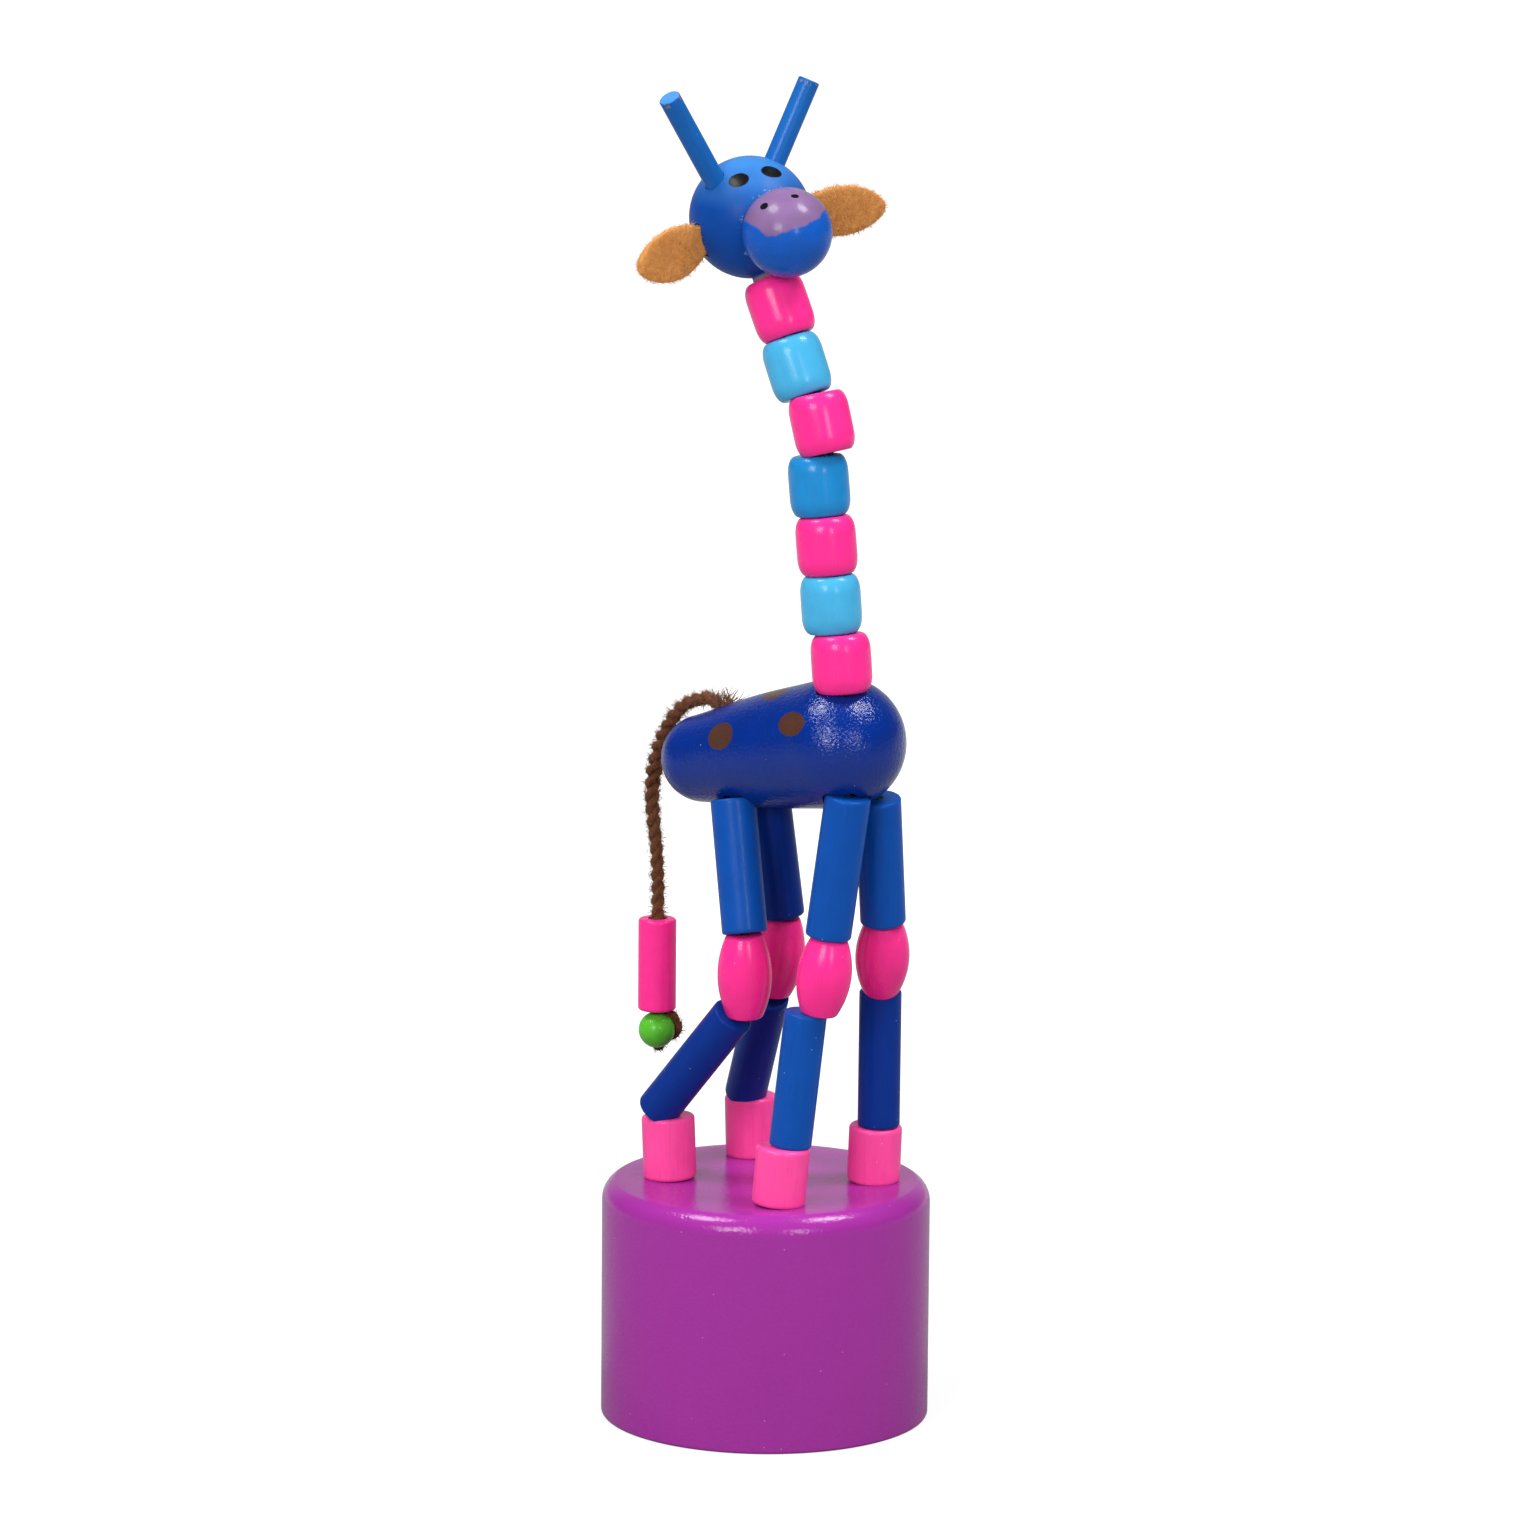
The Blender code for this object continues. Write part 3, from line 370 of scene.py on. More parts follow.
LEGS = ("front_left", "front_right", "rear_left", "rear_right")
LEG_PIECES = ("hoof", "shin", "knee", "thigh")
NECK = [f"neck_bead_{number}" for number in range(1, 8)]
turned_nodes = [f"{piece}_{leg}" for leg in LEGS for piece in LEG_PIECES] + NECK + ["tail_bead"]
sizes = {node: measure_turned(node) for node in turned_nodes}
head_centre, head_radius = measure_ball(points_of("head_ball"))
muzzle_centre, muzzle_radius = measure_ball(points_of("muzzle_ball"))
print(f"neck bead {sizes[NECK[0]]['radius'] * 2000:.2f} mm across, head {head_radius * 2000:.2f} mm")

# %% [markdown]
# ## The tail yarn
#
# The tail is a length of brown two-ply yarn, pushed into a hole in the rump. It comes up, lies
# over the rump and hangs, and its end is looped round the green ball. Its route is chosen.
# Two plies wind round that line, which is what makes yarn look like yarn and not like a wire.
# Where it bends over the rump the plies come apart a little, so the wind opens there.

# %% Lay the yarn
YARN_TWIST = 3.4 * MM
YARN_OPENING = 0.2 * MM
PLY_RADIUS = 0.5 * MM
PLY_REACH = 0.36 * MM
YARN_SMOOTH = 80.0
TAIL_ROUTE = [Vector(point) * MM for point in (
    (-3.75, -3.95, 90.8), (-4.85, -3.95, 92.05), (-6.1, -4.0, 92.7), (-7.6, -4.0, 92.75),
    (-9.3, -4.0, 92.25), (-11.0, -4.0, 91.4), (-12.6, -4.0, 90.1), (-14.3, -4.0, 87.6),
    (-15.6, -3.9, 84.8), (-16.4, -3.8, 81.9), (-16.75, -3.7, 78.6), (-16.5, -3.6, 75.3),
    (-16.1, -3.5, 71.9), (-15.9, -3.5, 68.0), (-15.9, -3.5, 63.3), (-15.9, -3.5, 57.0),
    (-15.9, -3.5, 51.2))]
ROUTE_DIVISIONS = 12
OPEN_FROM, OPEN_TO = 5 * ROUTE_DIVISIONS, 12 * ROUTE_DIVISIONS


def smooth_line(points, divisions):
    """Points on a smooth curve through given ones."""
    line = []
    last = len(points) - 1
    for index in range(last):
        before, start = points[max(index - 1, 0)], points[index]
        end, after = points[index + 1], points[min(index + 2, last)]
        for step in range(divisions):
            t = step / divisions
            line.append(0.5 * (
                2 * start + (end - before) * t
                + (2 * before - 5 * start + 4 * end - after) * t ** 2
                + (3 * start - before - 3 * end + after) * t ** 3))
    return line + [points[last]]


def line_length(points):
    return sum((b - a).length for a, b in zip(points, points[1:]))


def distances(points):
    """How far along a line each of its points lies."""
    along = [0.0]
    for a, b in zip(points, points[1:]):
        along.append(along[-1] + (b - a).length)
    return along


def line_frames(points):
    """A side vector and a second one for each point of a line, without sudden turns."""
    frames = []
    side = Vector((0.0, 1.0, 0.0))
    for index, point in enumerate(points):
        ahead = points[min(index + 1, len(points) - 1)] - points[max(index - 1, 0)]
        ahead.normalize()
        if abs(side.dot(ahead)) > 0.99:
            side = Vector((1.0, 0.0, 0.0))
        side = (side - ahead * side.dot(ahead)).normalized()
        frames.append((side.copy(), ahead.cross(side)))
    return frames


def tube_into(shape, points, radius, sides=12, pitch=2.5 * MM):
    """Add a round tube with closed ends, and store where each point lies on its fibres' twist."""
    layers = shape.verts.layers.float_vector
    twist = layers.get("twist") or layers.new("twist")
    rings = []
    radii = radius if isinstance(radius, list) else [radius] * len(points)
    for point, along, (side, other), wide in zip(points, distances(points), line_frames(points), radii):
        ring = []
        for step in range(sides):
            a = 2 * math.pi * step / sides
            vertex = shape.verts.new(point + (side * math.cos(a) + other * math.sin(a)) * wide)
            wound = a + 2 * math.pi * along / pitch
            vertex[twist] = (math.cos(wound), math.sin(wound), along / MM)
            ring.append(vertex)
        rings.append(ring)
    skin(shape, rings)
    shape.faces.new(list(reversed(rings[0])))
    shape.faces.new(rings[-1])


def helix(line, phase, pitch, reaches):
    """A line that winds round another, at a reach for each of its points."""
    wound = []
    for point, along, (side, other), reach in zip(line, distances(line), line_frames(line), reaches):
        turn = phase + 2 * math.pi * along / pitch
        wound.append(point + (side * math.cos(turn) + other * math.sin(turn)) * reach)
    return wound


def ply_reach(index):
    """How far a ply lies from the yarn's line: more where the plies come apart."""
    share = min(max((index - OPEN_FROM) / (OPEN_TO - OPEN_FROM), 0.0), 1.0)
    return PLY_REACH + YARN_OPENING * math.sin(math.pi * share) ** 2


def ply_widths(count, phase):
    """A ply is never quite even, so its radius wavers along it in a long and a short wave."""
    return [PLY_RADIUS * (1 + 0.1 * math.sin(0.53 * i + phase) + 0.06 * math.sin(1.31 * i))
            for i in range(count)]


yarn_line = smooth_line(TAIL_ROUTE, ROUTE_DIVISIONS)
yarn_length = line_length(yarn_line)
ply_reaches = [ply_reach(index) for index in range(len(yarn_line))]
yarn_shape = bmesh.new()
for phase in (0.0, math.pi):
    ply = helix(yarn_line, phase, YARN_TWIST, ply_reaches)
    tube_into(yarn_shape, ply, ply_widths(len(ply), phase))
yarn = finished_mesh("tail_yarn_plies", yarn_shape, YARN_SMOOTH)
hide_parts("tail_yarn_root", "tail_yarn")
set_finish(yarn, "yarn")
print(f"yarn {yarn_length * 1000:.1f} mm long")

# %% [markdown]
# ## Painted wood
#
# Every bead is dipped in paint, so the colour is even but the wood still shows: fine lines along
# the grain, a few pores, a cloudy change of depth, and specks of dust caught in the gloss. One
# node group holds that, and each paint gives it a colour and amounts. The group reads the
# attribute `grain`, which stores where each point was on the lathe, so the lines always run along
# the bead's own axis.


# %% The group for painted wood
DUST_GREY = seen(215, 205, 210)
DUST_RARITY = 0.72
DUST_SIZE = 0.05


def make_paint_group():
    group, given, result = new_group(
        "painted wood", "ShaderNodeTree",
        [("Colour", "NodeSocketColor", (0.5, 0.5, 0.5, 1.0)),
         ("Grain", "NodeSocketFloat", 0.3),
         ("Cloud", "NodeSocketFloat", 0.2),
         ("Dust", "NodeSocketFloat", 0.5),
         ("Gloss", "NodeSocketFloat", 0.2)],
        [("Colour", "NodeSocketColor"), ("Roughness", "NodeSocketFloat"), ("Height", "NodeSocketFloat")])
    place = stored(group, "grain")
    lines = noise(group, stretched(group, place, 3200.0, 3200.0, 220.0), 1.0, 4.0, Roughness=0.6)
    cut = ramp(group, lines, 0.5, 0.8) * given["Grain"]
    cloud = ragged(group, place, 420.0, given["Cloud"])
    shade = add(group, "ShaderNodeHueSaturation", Value=cloud + 1.0 - cut, Color=given["Colour"]).outputs[0]
    cells = add(group, "ShaderNodeTexVoronoi", Vector=place, Scale=700.0).outputs
    draw = add(group, "ShaderNodeSeparateColor", Color=cells["Color"]).outputs[0]
    rare = Number(group, draw) > DUST_RARITY
    small = Number(group, cells["Distance"]) < DUST_SIZE
    dust = rare * small * given["Dust"]
    peel = noise(group, place, 2500.0, 2.0)
    feed(group, result.inputs["Colour"], mix_colour(group, dust, shade, DUST_GREY))
    feed(group, result.inputs["Roughness"], given["Gloss"] + cut)
    feed(group, result.inputs["Height"], peel * 0.4 - cut * 0.8 + dust * 1.5)
    return group


PAINT_GROUP = make_paint_group()

# %% [markdown]
# ## Marks painted by hand
#
# Eyes, nostrils and spots are dabs of a brush, and the mauve patch is a cap that was dipped. They
# could be thin pieces of their own, but paint has no thickness to speak of, so each is a mask in
# the material of the bead that carries it. An oval mask measures how far a point lies from the
# dab's middle in two directions, and a little noise keeps the edge from being perfect. The mask for a
# dipped cap also lays a painted sheen, a lighter blue, over the head's top.


# %% Groups for dabs, dips and seams
def dot(group, first, second):
    return Number(group, vector_calc(group, "DOT_PRODUCT", first, second)["Value"])


def away_from(group, place, centre):
    return vector_calc(group, "SUBTRACT", place, centre)[0]


DAB_DEPTH = 2.5 * MM
PLACE = ("Place", "NodeSocketVector", None)
CENTRE = ("Centre", "NodeSocketVector", None)
WOBBLE = ("Wobble", "NodeSocketFloat", 0.1)
MASK = [("Mask", "NodeSocketFloat")]


def make_dab_group():
    """An oval dab, given by its middle, its three directions and two half sizes."""
    group, given, result = new_group(
        "painted dab", "ShaderNodeTree",
        [PLACE, CENTRE, ("Across", "NodeSocketVector", None), ("Up", "NodeSocketVector", None),
         ("Facing", "NodeSocketVector", None), ("Half Width", "NodeSocketFloat", 0.001),
         ("Half Height", "NodeSocketFloat", 0.001), WOBBLE], MASK)
    away = away_from(group, given["Place"], given["Centre"])
    wide = dot(group, away, given["Across"]) / given["Half Width"]
    high = dot(group, away, given["Up"]) / given["Half Height"]
    waver = ragged(group, given["Place"], 900.0, given["Wobble"])
    reach = (wide * wide + high * high).do("SQRT") + waver
    near = dot(group, away, given["Facing"]) > -DAB_DEPTH
    feed(group, result.inputs["Mask"], ramp(group, reach, 1.05, 0.95) * near)
    return group


def make_dip_and_sheen_group():
    """The part of a piece beyond a plane, as when it is dipped, and also the head's painted sheen: a middle,
    an axis and a height.
    """
    group, given, result = new_group(
        "dipped end", "ShaderNodeTree",
        [PLACE, CENTRE, ("Axis", "NodeSocketVector", None), ("Height", "NodeSocketFloat", 0.0),
         ("Softness", "NodeSocketFloat", 0.1 * MM), WOBBLE], MASK)
    level = dot(group, away_from(group, given["Place"], given["Centre"]), given["Axis"])
    waver = ragged(group, given["Place"], 450.0, given["Wobble"]) * MM
    over = (level + waver - given["Height"]) / given["Softness"]
    feed(group, result.inputs["Mask"], ramp(group, over, -1.0, 1.0))
    return group


def make_seam_group():
    """A broken line on a piece where it meets a ball: the ball's middle, its radius and a width."""
    group, given, result = new_group(
        "glued seam", "ShaderNodeTree",
        [PLACE, CENTRE, ("Radius", "NodeSocketFloat", 0.005), ("Width", "NodeSocketFloat", 0.0002),
         ("Broken", "NodeSocketFloat", 0.5)], MASK)
    length = vector_calc(group, "LENGTH", away_from(group, given["Place"], given["Centre"]))["Value"]
    off = (Number(group, length) - given["Radius"]).do("ABSOLUTE")
    line = ramp(group, off / given["Width"], 1.0, 0.4)
    whole = noise(group, given["Place"], 1400.0, 2.0) > given["Broken"]
    feed(group, result.inputs["Mask"], line * whole)
    return group


DAB_GROUP, DIP_AND_SHEEN_GROUP, SEAM_GROUP = make_dab_group(), make_dip_and_sheen_group(), make_seam_group()


def dab(centre, facing, width, height, tilt=0.0, wobble=0.12):
    """A dab's group and values, with its up turned from upright by a tilt."""
    facing = Vector(facing).normalized()
    across = Vector((0.0, 0.0, 1.0)).cross(facing).normalized()
    turn = Matrix.Rotation(math.radians(tilt), 3, facing)
    return DAB_GROUP, {
        "Centre": Vector(centre), "Across": turn @ across, "Up": turn @ facing.cross(across),
        "Facing": facing, "Half Width": width / 2, "Half Height": height / 2, "Wobble": wobble}


# The mask of a dipped cap; the head's painted sheen is laid with it too.
def dip_and_sheen(centre, axis, height, softness=0.05 * MM, wobble=0.5):
    return DIP_AND_SHEEN_GROUP, {"Centre": Vector(centre), "Axis": Vector(axis).normalized(), "Height": height,
                       "Softness": softness, "Wobble": wobble}


def seam(centre, radius, width, broken):
    return SEAM_GROUP, {"Centre": Vector(centre), "Radius": radius, "Width": width, "Broken": broken}


def mark(shape, colour, gloss, cover=1.0):
    """A painted mark: its group and values, its colour and gloss, and how well it covers."""
    return shape, colour, gloss, cover


# %% Mix the paints
COAT_ROUGHNESS = 0.08


def paint(name, colour, grain=0.12, cloud=0.2, dust=0.5, gloss=0.24, coat=0.06, bump=0.3, shine=0.25,
          depth=0.1, marks=()):
    """A paint from the group: a new material with the colour and finish of one dipping, and its marks."""
    material, tree, shader = new_material(name)
    look = add(tree, "ShaderNodeGroup", {"node_tree": PAINT_GROUP}, Colour=colour, Grain=grain,
               Cloud=cloud, Dust=dust, Gloss=gloss)
    shade, rough = look.outputs["Colour"], look.outputs["Roughness"]
    place = add(tree, "ShaderNodeTexCoord").outputs["Object"] if marks else None
    for (group, values), mark_colour, mark_gloss, cover in marks:
        stencil = add(tree, "ShaderNodeGroup", {"node_tree": group}, Place=place)
        for title, value in values.items():
            feed(tree, stencil.inputs[title], value)
        share = Number(tree, stencil.outputs["Mask"]) * cover
        over = add(tree, "ShaderNodeGroup", {"node_tree": PAINT_GROUP}, Colour=mark_colour, Grain=grain,
                   Cloud=2 * cloud, Dust=dust, Gloss=mark_gloss)
        shade = mix_colour(tree, share, shade, over.outputs["Colour"])
        rough = mix_number(tree, share, rough, over.outputs["Roughness"])
    normal = lay_finish(tree, shader, shade, rough, look.outputs["Height"], bump, depth * MM)
    feed(tree, shader.inputs["Coat Normal"], normal)
    shader.inputs["Specular IOR Level"].default_value = shine
    shader.inputs["Coat Weight"].default_value = coat
    shader.inputs["Coat Roughness"].default_value = COAT_ROUGHNESS
    return material


PINK = paint("pink paint", seen(255, 46, 146))
HOOF_PINK = paint("hoof pink paint", seen(255, 76, 160), gloss=0.3)
LEG_BLUE = paint("leg blue paint", seen(10, 78, 168), gloss=0.34, coat=0.03, shine=0.12)
# Painted shade: a darker copy of the leg blue, given below to the far rear thigh and to all shins but the
# near front one.
SHADED_LEG_BLUE = paint("deep leg blue paint", seen(8, 48, 136), grain=0.14, gloss=0.34, coat=0.03, shine=0.1)
LIGHT_BLUE = paint("light blue paint", seen(70, 173, 221))
MID_BLUE = paint("middle blue paint", seen(28, 135, 203))
GREEN = paint("green paint", seen(88, 188, 48), gloss=0.25)
print("paints:", len([m for m in bpy.data.materials if "paint" in m.name]))

# %% [markdown]
# ## The turned beads
#
# Hooves, shins, knees, thighs, neck beads and the tail bead are one family: a drilled cylinder
# whose side may swell and whose ends are rounded. One Geometry Nodes tree makes them all. It bends
# a flat grid round the axis by a rule, so each bead needs only its sizes.


# %% The tree for a turned bead
def make_bead_tree():
    tree, size, result = new_group(
        "turned bead", "GeometryNodeTree",
        [("Length", "NodeSocketFloat", 0.01), ("Radius", "NodeSocketFloat", 0.003),
         ("Bore Radius", "NodeSocketFloat", 0.001), ("Swell", "NodeSocketFloat", 0.0),
         ("Corner Length", "NodeSocketFloat", 0.0005), ("Corner Depth", "NodeSocketFloat", 0.0005),
         ("Steps", "NodeSocketInt", 64), ("Rings", "NodeSocketInt", 40),
         ("Grain Offset", "NodeSocketVector", (0.0, 0.0, 0.0)), ("Material", "NodeSocketMaterial", None)],
        [("Geometry", "NodeSocketGeometry")])
    half, rings = size["Length"] * 0.5, size["Rings"]
    position = add(tree, "GeometryNodeInputPosition").outputs[0]
    grid = add(tree, "GeometryNodeMeshGrid", Size_X=1.0, Size_Y=1.0, Vertices_X=size["Steps"] + 1,
               Vertices_Y=rings + 3)
    where = add(tree, "ShaderNodeSeparateXYZ", Vector=position).outputs
    turn = (Number(tree, where["X"]) + 0.5) * (2 * math.pi)
    row = ((Number(tree, where["Y"]) + 0.5) * (rings + 2)).do("ROUND")
    level = ((row - 1) / (rings - 1) * math.pi).do("COSINE")
    from_end = half * (1.0 - level.do("ABSOLUTE"))
    into = (size["Corner Length"] - from_end).do("MAXIMUM", 0.0) / size["Corner Length"]
    round_off = (1.0 - into * into).do("MAXIMUM", 0.0).do("SQRT")
    drop = size["Corner Depth"] * (1.0 - round_off)
    outer = size["Radius"] - size["Swell"] * (level * level) - drop
    on_side = (row > 0.5) * (row < rings + 0.5)
    bore_low = (row > rings + 0.5) * (row < rings + 1.5)
    bore_level = 1.0 - bore_low * 2.0
    radius = mix_number(tree, on_side, size["Bore Radius"], outer)
    height = mix_number(tree, on_side, bore_level, level)
    spot = add(tree, "ShaderNodeCombineXYZ", X=radius * turn.do("COSINE"), Y=radius * turn.do("SINE"),
               Z=height * half)
    bent = add(tree, "GeometryNodeSetPosition", Geometry=grid.outputs["Mesh"], Position=spot.outputs[0])
    closed = add(tree, "GeometryNodeMergeByDistance", Geometry=bent.outputs[0], Distance=0.001 * MM)
    offset = vector_calc(tree, "ADD", position, size["Grain Offset"])[0]
    kept = add(tree, "GeometryNodeStoreNamedAttribute", {"data_type": "FLOAT_VECTOR", "domain": "POINT"},
               Geometry=closed.outputs[0], Name="grain", Value=offset)
    whole = add(tree, "GeometryNodeRealizeInstances", Geometry=kept.outputs[0])
    dressed = add(tree, "GeometryNodeSetMaterial", Geometry=whole.outputs[0], Material=size["Material"])
    feed(tree, result.inputs["Geometry"], dressed.outputs[0])
    return tree


BEAD_TREE = make_bead_tree()


def grow(tree, name, inputs, surface=None):
    """Evaluate a Geometry Nodes tree with named inputs, on a surface if it has one, as a plain mesh."""
    ground = surface.data.copy() if surface else bpy.data.meshes.new(name + "_carrier")
    carrier = put(name + "_carrier", ground)
    modifier = carrier.modifiers.new(tree.name, "NODES")
    modifier.node_group = tree
    for socket in tree.interface.items_tree:
        if socket.in_out == "INPUT" and socket.name in inputs:
            modifier[socket.identifier] = inputs[socket.name]
    graph = bpy.context.evaluated_depsgraph_get()
    mesh = bpy.data.meshes.new_from_object(carrier.evaluated_get(graph), depsgraph=graph)
    bpy.data.objects.remove(carrier)
    mesh.name = name
    return mesh


def settle(mesh, matrix):
    """Put a mesh in its place, face it outwards, and link it as an object at the origin."""
    mesh.transform(matrix)
    shape = bmesh.new()
    shape.from_mesh(mesh)
    bmesh.ops.recalc_face_normals(shape, faces=shape.faces)
    shape.to_mesh(mesh)
    shape.free()
    smooth_up_to(mesh)
    return put(mesh.name, mesh)


def body_with(node):
    """The name of the body that a solid belongs to."""
    bodies = frame["record"]["behaviour"]["bodies"]
    return next(name for name, nodes in bodies.items() if node in nodes)


def slot_of(node):
    """The record's material slot for a solid."""
    return next(s["material_slot"] for s in frame["record"]["subparts"] if s["node"] == node)


def stand_for(item, node):
    """Let a piece replace a solid, and move with its body."""
    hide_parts(node)
    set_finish(item, slot_of(node))
    if item.parent is None:
        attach(item, body_with(node))
    return item


def foot_of(node):
    return sizes[node]["middle"] - sizes[node]["axis"] * sizes[node]["length"] / 2


def top_of(node):
    return sizes[node]["middle"] + sizes[node]["axis"] * sizes[node]["length"] / 2


TOUCH = 0.03 * MM
longer_foot, longer_top = {}, {}


def close_up(chain):
    """Let each bead of a chain reach the middle of the gap to the next, so that they all but touch."""
    for low, high in zip(chain, chain[1:]):
        meeting = (top_of(low) + foot_of(high)) / 2
        longer_top[low] = max((meeting - top_of(low)).dot(sizes[low]["axis"]) - TOUCH, 0.0)
        longer_foot[high] = max((foot_of(high) - meeting).dot(sizes[high]["axis"]) - TOUCH, 0.0)


bead_count = 0
GRAIN_STEP = 0.04
LEG_HOLE = 0.65 * MM
HOOF_HOLE = 1.25 * MM


def make_bead(node, material, swell=0.0, corner_length=None, corner_depth=None, hole=None):
    """A smooth bead in the place of its solid, long enough to touch its neighbours."""
    global bead_count
    bead_count += 1
    size = sizes[node]
    corner = size["radius"] - size["end"]
    foot = foot_of(node) - size["axis"] * longer_foot.get(node, 0.0)
    top = top_of(node) + size["axis"] * longer_top.get(node, 0.0)
    mesh = grow(BEAD_TREE, f"{node}_turned", {
        "Length": (top - foot).length, "Radius": size["radius"], "Bore Radius": hole or size["bore"],
        "Swell": swell, "Corner Length": corner_length or corner, "Corner Depth": corner_depth or corner,
        "Grain Offset": (0.0, 0.0, GRAIN_STEP * bead_count), "Material": material})
    return stand_for(settle(mesh, aim_matrix((foot + top) / 2, size["axis"])), node)


# %% Turn the legs, the neck and the tail bead
KNEE_CORNER = 0.25 * MM
NECK_CORNER = 2.1 * MM
NECK_SWELL = 0.05 * MM
NECK_PAINTS = (PINK, LIGHT_BLUE, PINK, MID_BLUE, PINK, LIGHT_BLUE, PINK)
NECK_INTO_BODY = 0.2 * MM
NECK_TO_HEAD = 0.45 * MM
HOOF_CORNER = 0.5 * MM
KNEE_TAPER = 0.3 * MM
THIGH_TUCK = {
    "front_left": 1.1 * MM, "front_right": 2.8 * MM, "rear_left": 1.4 * MM, "rear_right": 1.2 * MM}
base_top = float(points_of("base")[:, 2].max())

for leg in LEGS:
    chain = [f"{piece}_{leg}" for piece in LEG_PIECES]
    close_up(chain)
    longer_foot[chain[0]] = foot_of(chain[0]).z - base_top
    longer_top[chain[-1]] = THIGH_TUCK[leg]
close_up(NECK)
longer_foot[NECK[0]] = NECK_INTO_BODY
longer_top[NECK[-1]] = NECK_TO_HEAD

for leg in LEGS:
    # Lit and shaded copies of the leg blue, as painted light and shade: the near front shin takes the lighter
    # one, the other shins and the far rear thigh the darker one.
    shin_paint = LEG_BLUE if leg == "front_right" else SHADED_LEG_BLUE
    make_bead(f"hoof_{leg}", HOOF_PINK, corner_length=HOOF_CORNER, hole=HOOF_HOLE)
    make_bead(f"shin_{leg}", shin_paint, hole=LEG_HOLE)
    knee = sizes[f"knee_{leg}"]
    taper = knee["radius"] - knee["end"] - KNEE_CORNER + KNEE_TAPER
    make_bead(f"knee_{leg}", PINK, taper, KNEE_CORNER, KNEE_CORNER, LEG_HOLE)
    make_bead(f"thigh_{leg}", SHADED_LEG_BLUE if leg == "rear_left" else LEG_BLUE, hole=LEG_HOLE)
for node, material in zip(NECK, NECK_PAINTS):
    corner_depth = sizes[node]["radius"] - sizes[node]["end"] - NECK_SWELL
    make_bead(node, material, NECK_SWELL, NECK_CORNER, corner_depth)
tail_bead = make_bead("tail_bead", PINK)
print(f"{bead_count} beads")

# %% [markdown]
# ## Other turned pieces
#
# The base, the button, the body, the head, the muzzle, the horns and the tail ball each have a
# profile of their own, so they are spun from a list of radii and heights. Arcs make the round
# stretches. Holes are drilled afterwards with a boolean cut, as on the bench.


# %% Spinning and drilling
def arc(centre, radius, start, end, count):
    """Points on an arc in the (radius, height) plane, from one angle above level to another."""
    angles = [math.radians(start + (end - start) * step / count) for step in range(count + 1)]
    return [(centre[0] + radius * math.cos(a), centre[1] + radius * math.sin(a)) for a in angles]


def spin(name, profile, matrix, steps=96, loop=False, grain_offset=0.0):
    """A turned mesh from (radius, height) points round local Z, with its place on the lathe stored."""
    shape = bmesh.new()
    grain = shape.verts.layers.float_vector.new("grain")
    rings = []
    for radius, height in profile:
        count = steps if radius > 1e-7 else 1
        ring = []
        for step in range(count):
            a = 2 * math.pi * step / count
            spot = Vector((radius * math.cos(a), radius * math.sin(a), height))
            vertex = shape.verts.new(matrix @ spot)
            vertex[grain] = spot + Vector((0.0, 0.0, grain_offset))
            ring.append(vertex)
        rings.append(ring)
    skin(shape, rings, loop)
    return finished_mesh(name, shape)


def drill(item, start, end, radius, sides=48):
    """Cut a round hole in a piece, from one point to another."""
    shape = bmesh.new()
    bmesh.ops.create_cone(
        shape, cap_ends=True, segments=sides, radius1=radius, radius2=radius, depth=(end - start).length)
    mesh = bpy.data.meshes.new("drill")
    shape.to_mesh(mesh)
    shape.free()
    carve(item, mesh, aim_matrix((start + end) / 2, (end - start).normalized()))


def carve(item, mesh, matrix):
    """Cut the shape of a mesh out of a piece, and keep the result as its plain mesh."""
    tool = put("tool", mesh)
    tool.matrix_world = matrix
    modifier = item.modifiers.new("cut", "BOOLEAN")
    modifier.operation = "DIFFERENCE"
    modifier.solver = "EXACT"
    modifier.object = tool
    bpy.context.view_layer.update()
    graph = bpy.context.evaluated_depsgraph_get()
    cut = bpy.data.meshes.new_from_object(item.evaluated_get(graph), depsgraph=graph)
    item.modifiers.remove(modifier)
    bpy.data.objects.remove(tool)
    item.data = cut
    smooth_up_to(cut)


def dress(item, material):
    """Give a piece one material."""
    item.data.materials.clear()
    item.data.materials.append(material)
    return item


# %% [markdown]
# ## The base
#
# The base is a thick purple drum, open below, with a flat top that meets its round shoulder in a
# crease. The paint pools in the crease and shines there. Four holes let the strings through.

# %% Turn the base
HAIR = 0.01 * MM
RIM = 1 * MM
base_points = points_of("base")
base_height = base_points[:, 2].max()
base_away = np.hypot(base_points[:, 0], base_points[:, 1])
base_radius = base_away.max()
on_top = base_points[:, 2] > base_height - HAIR
top_radius = base_away[on_top].max()
inside = base_points[(base_points[:, 2] < HAIR)]
bore_radius = np.hypot(inside[:, 0], inside[:, 1]).min()
ceiling = base_points[base_away < HAIR][:, 2].min()
SHOULDER = 2.6 * MM
FOOT_ROUND = 0.5 * MM
SHOULDER_START = 66.0
CREASE_DIP = 0.03 * MM
CREASE_WIDTH = 0.22 * MM
CREASE_ANGLE = 12.0
LIP_ROUND = 0.4 * MM


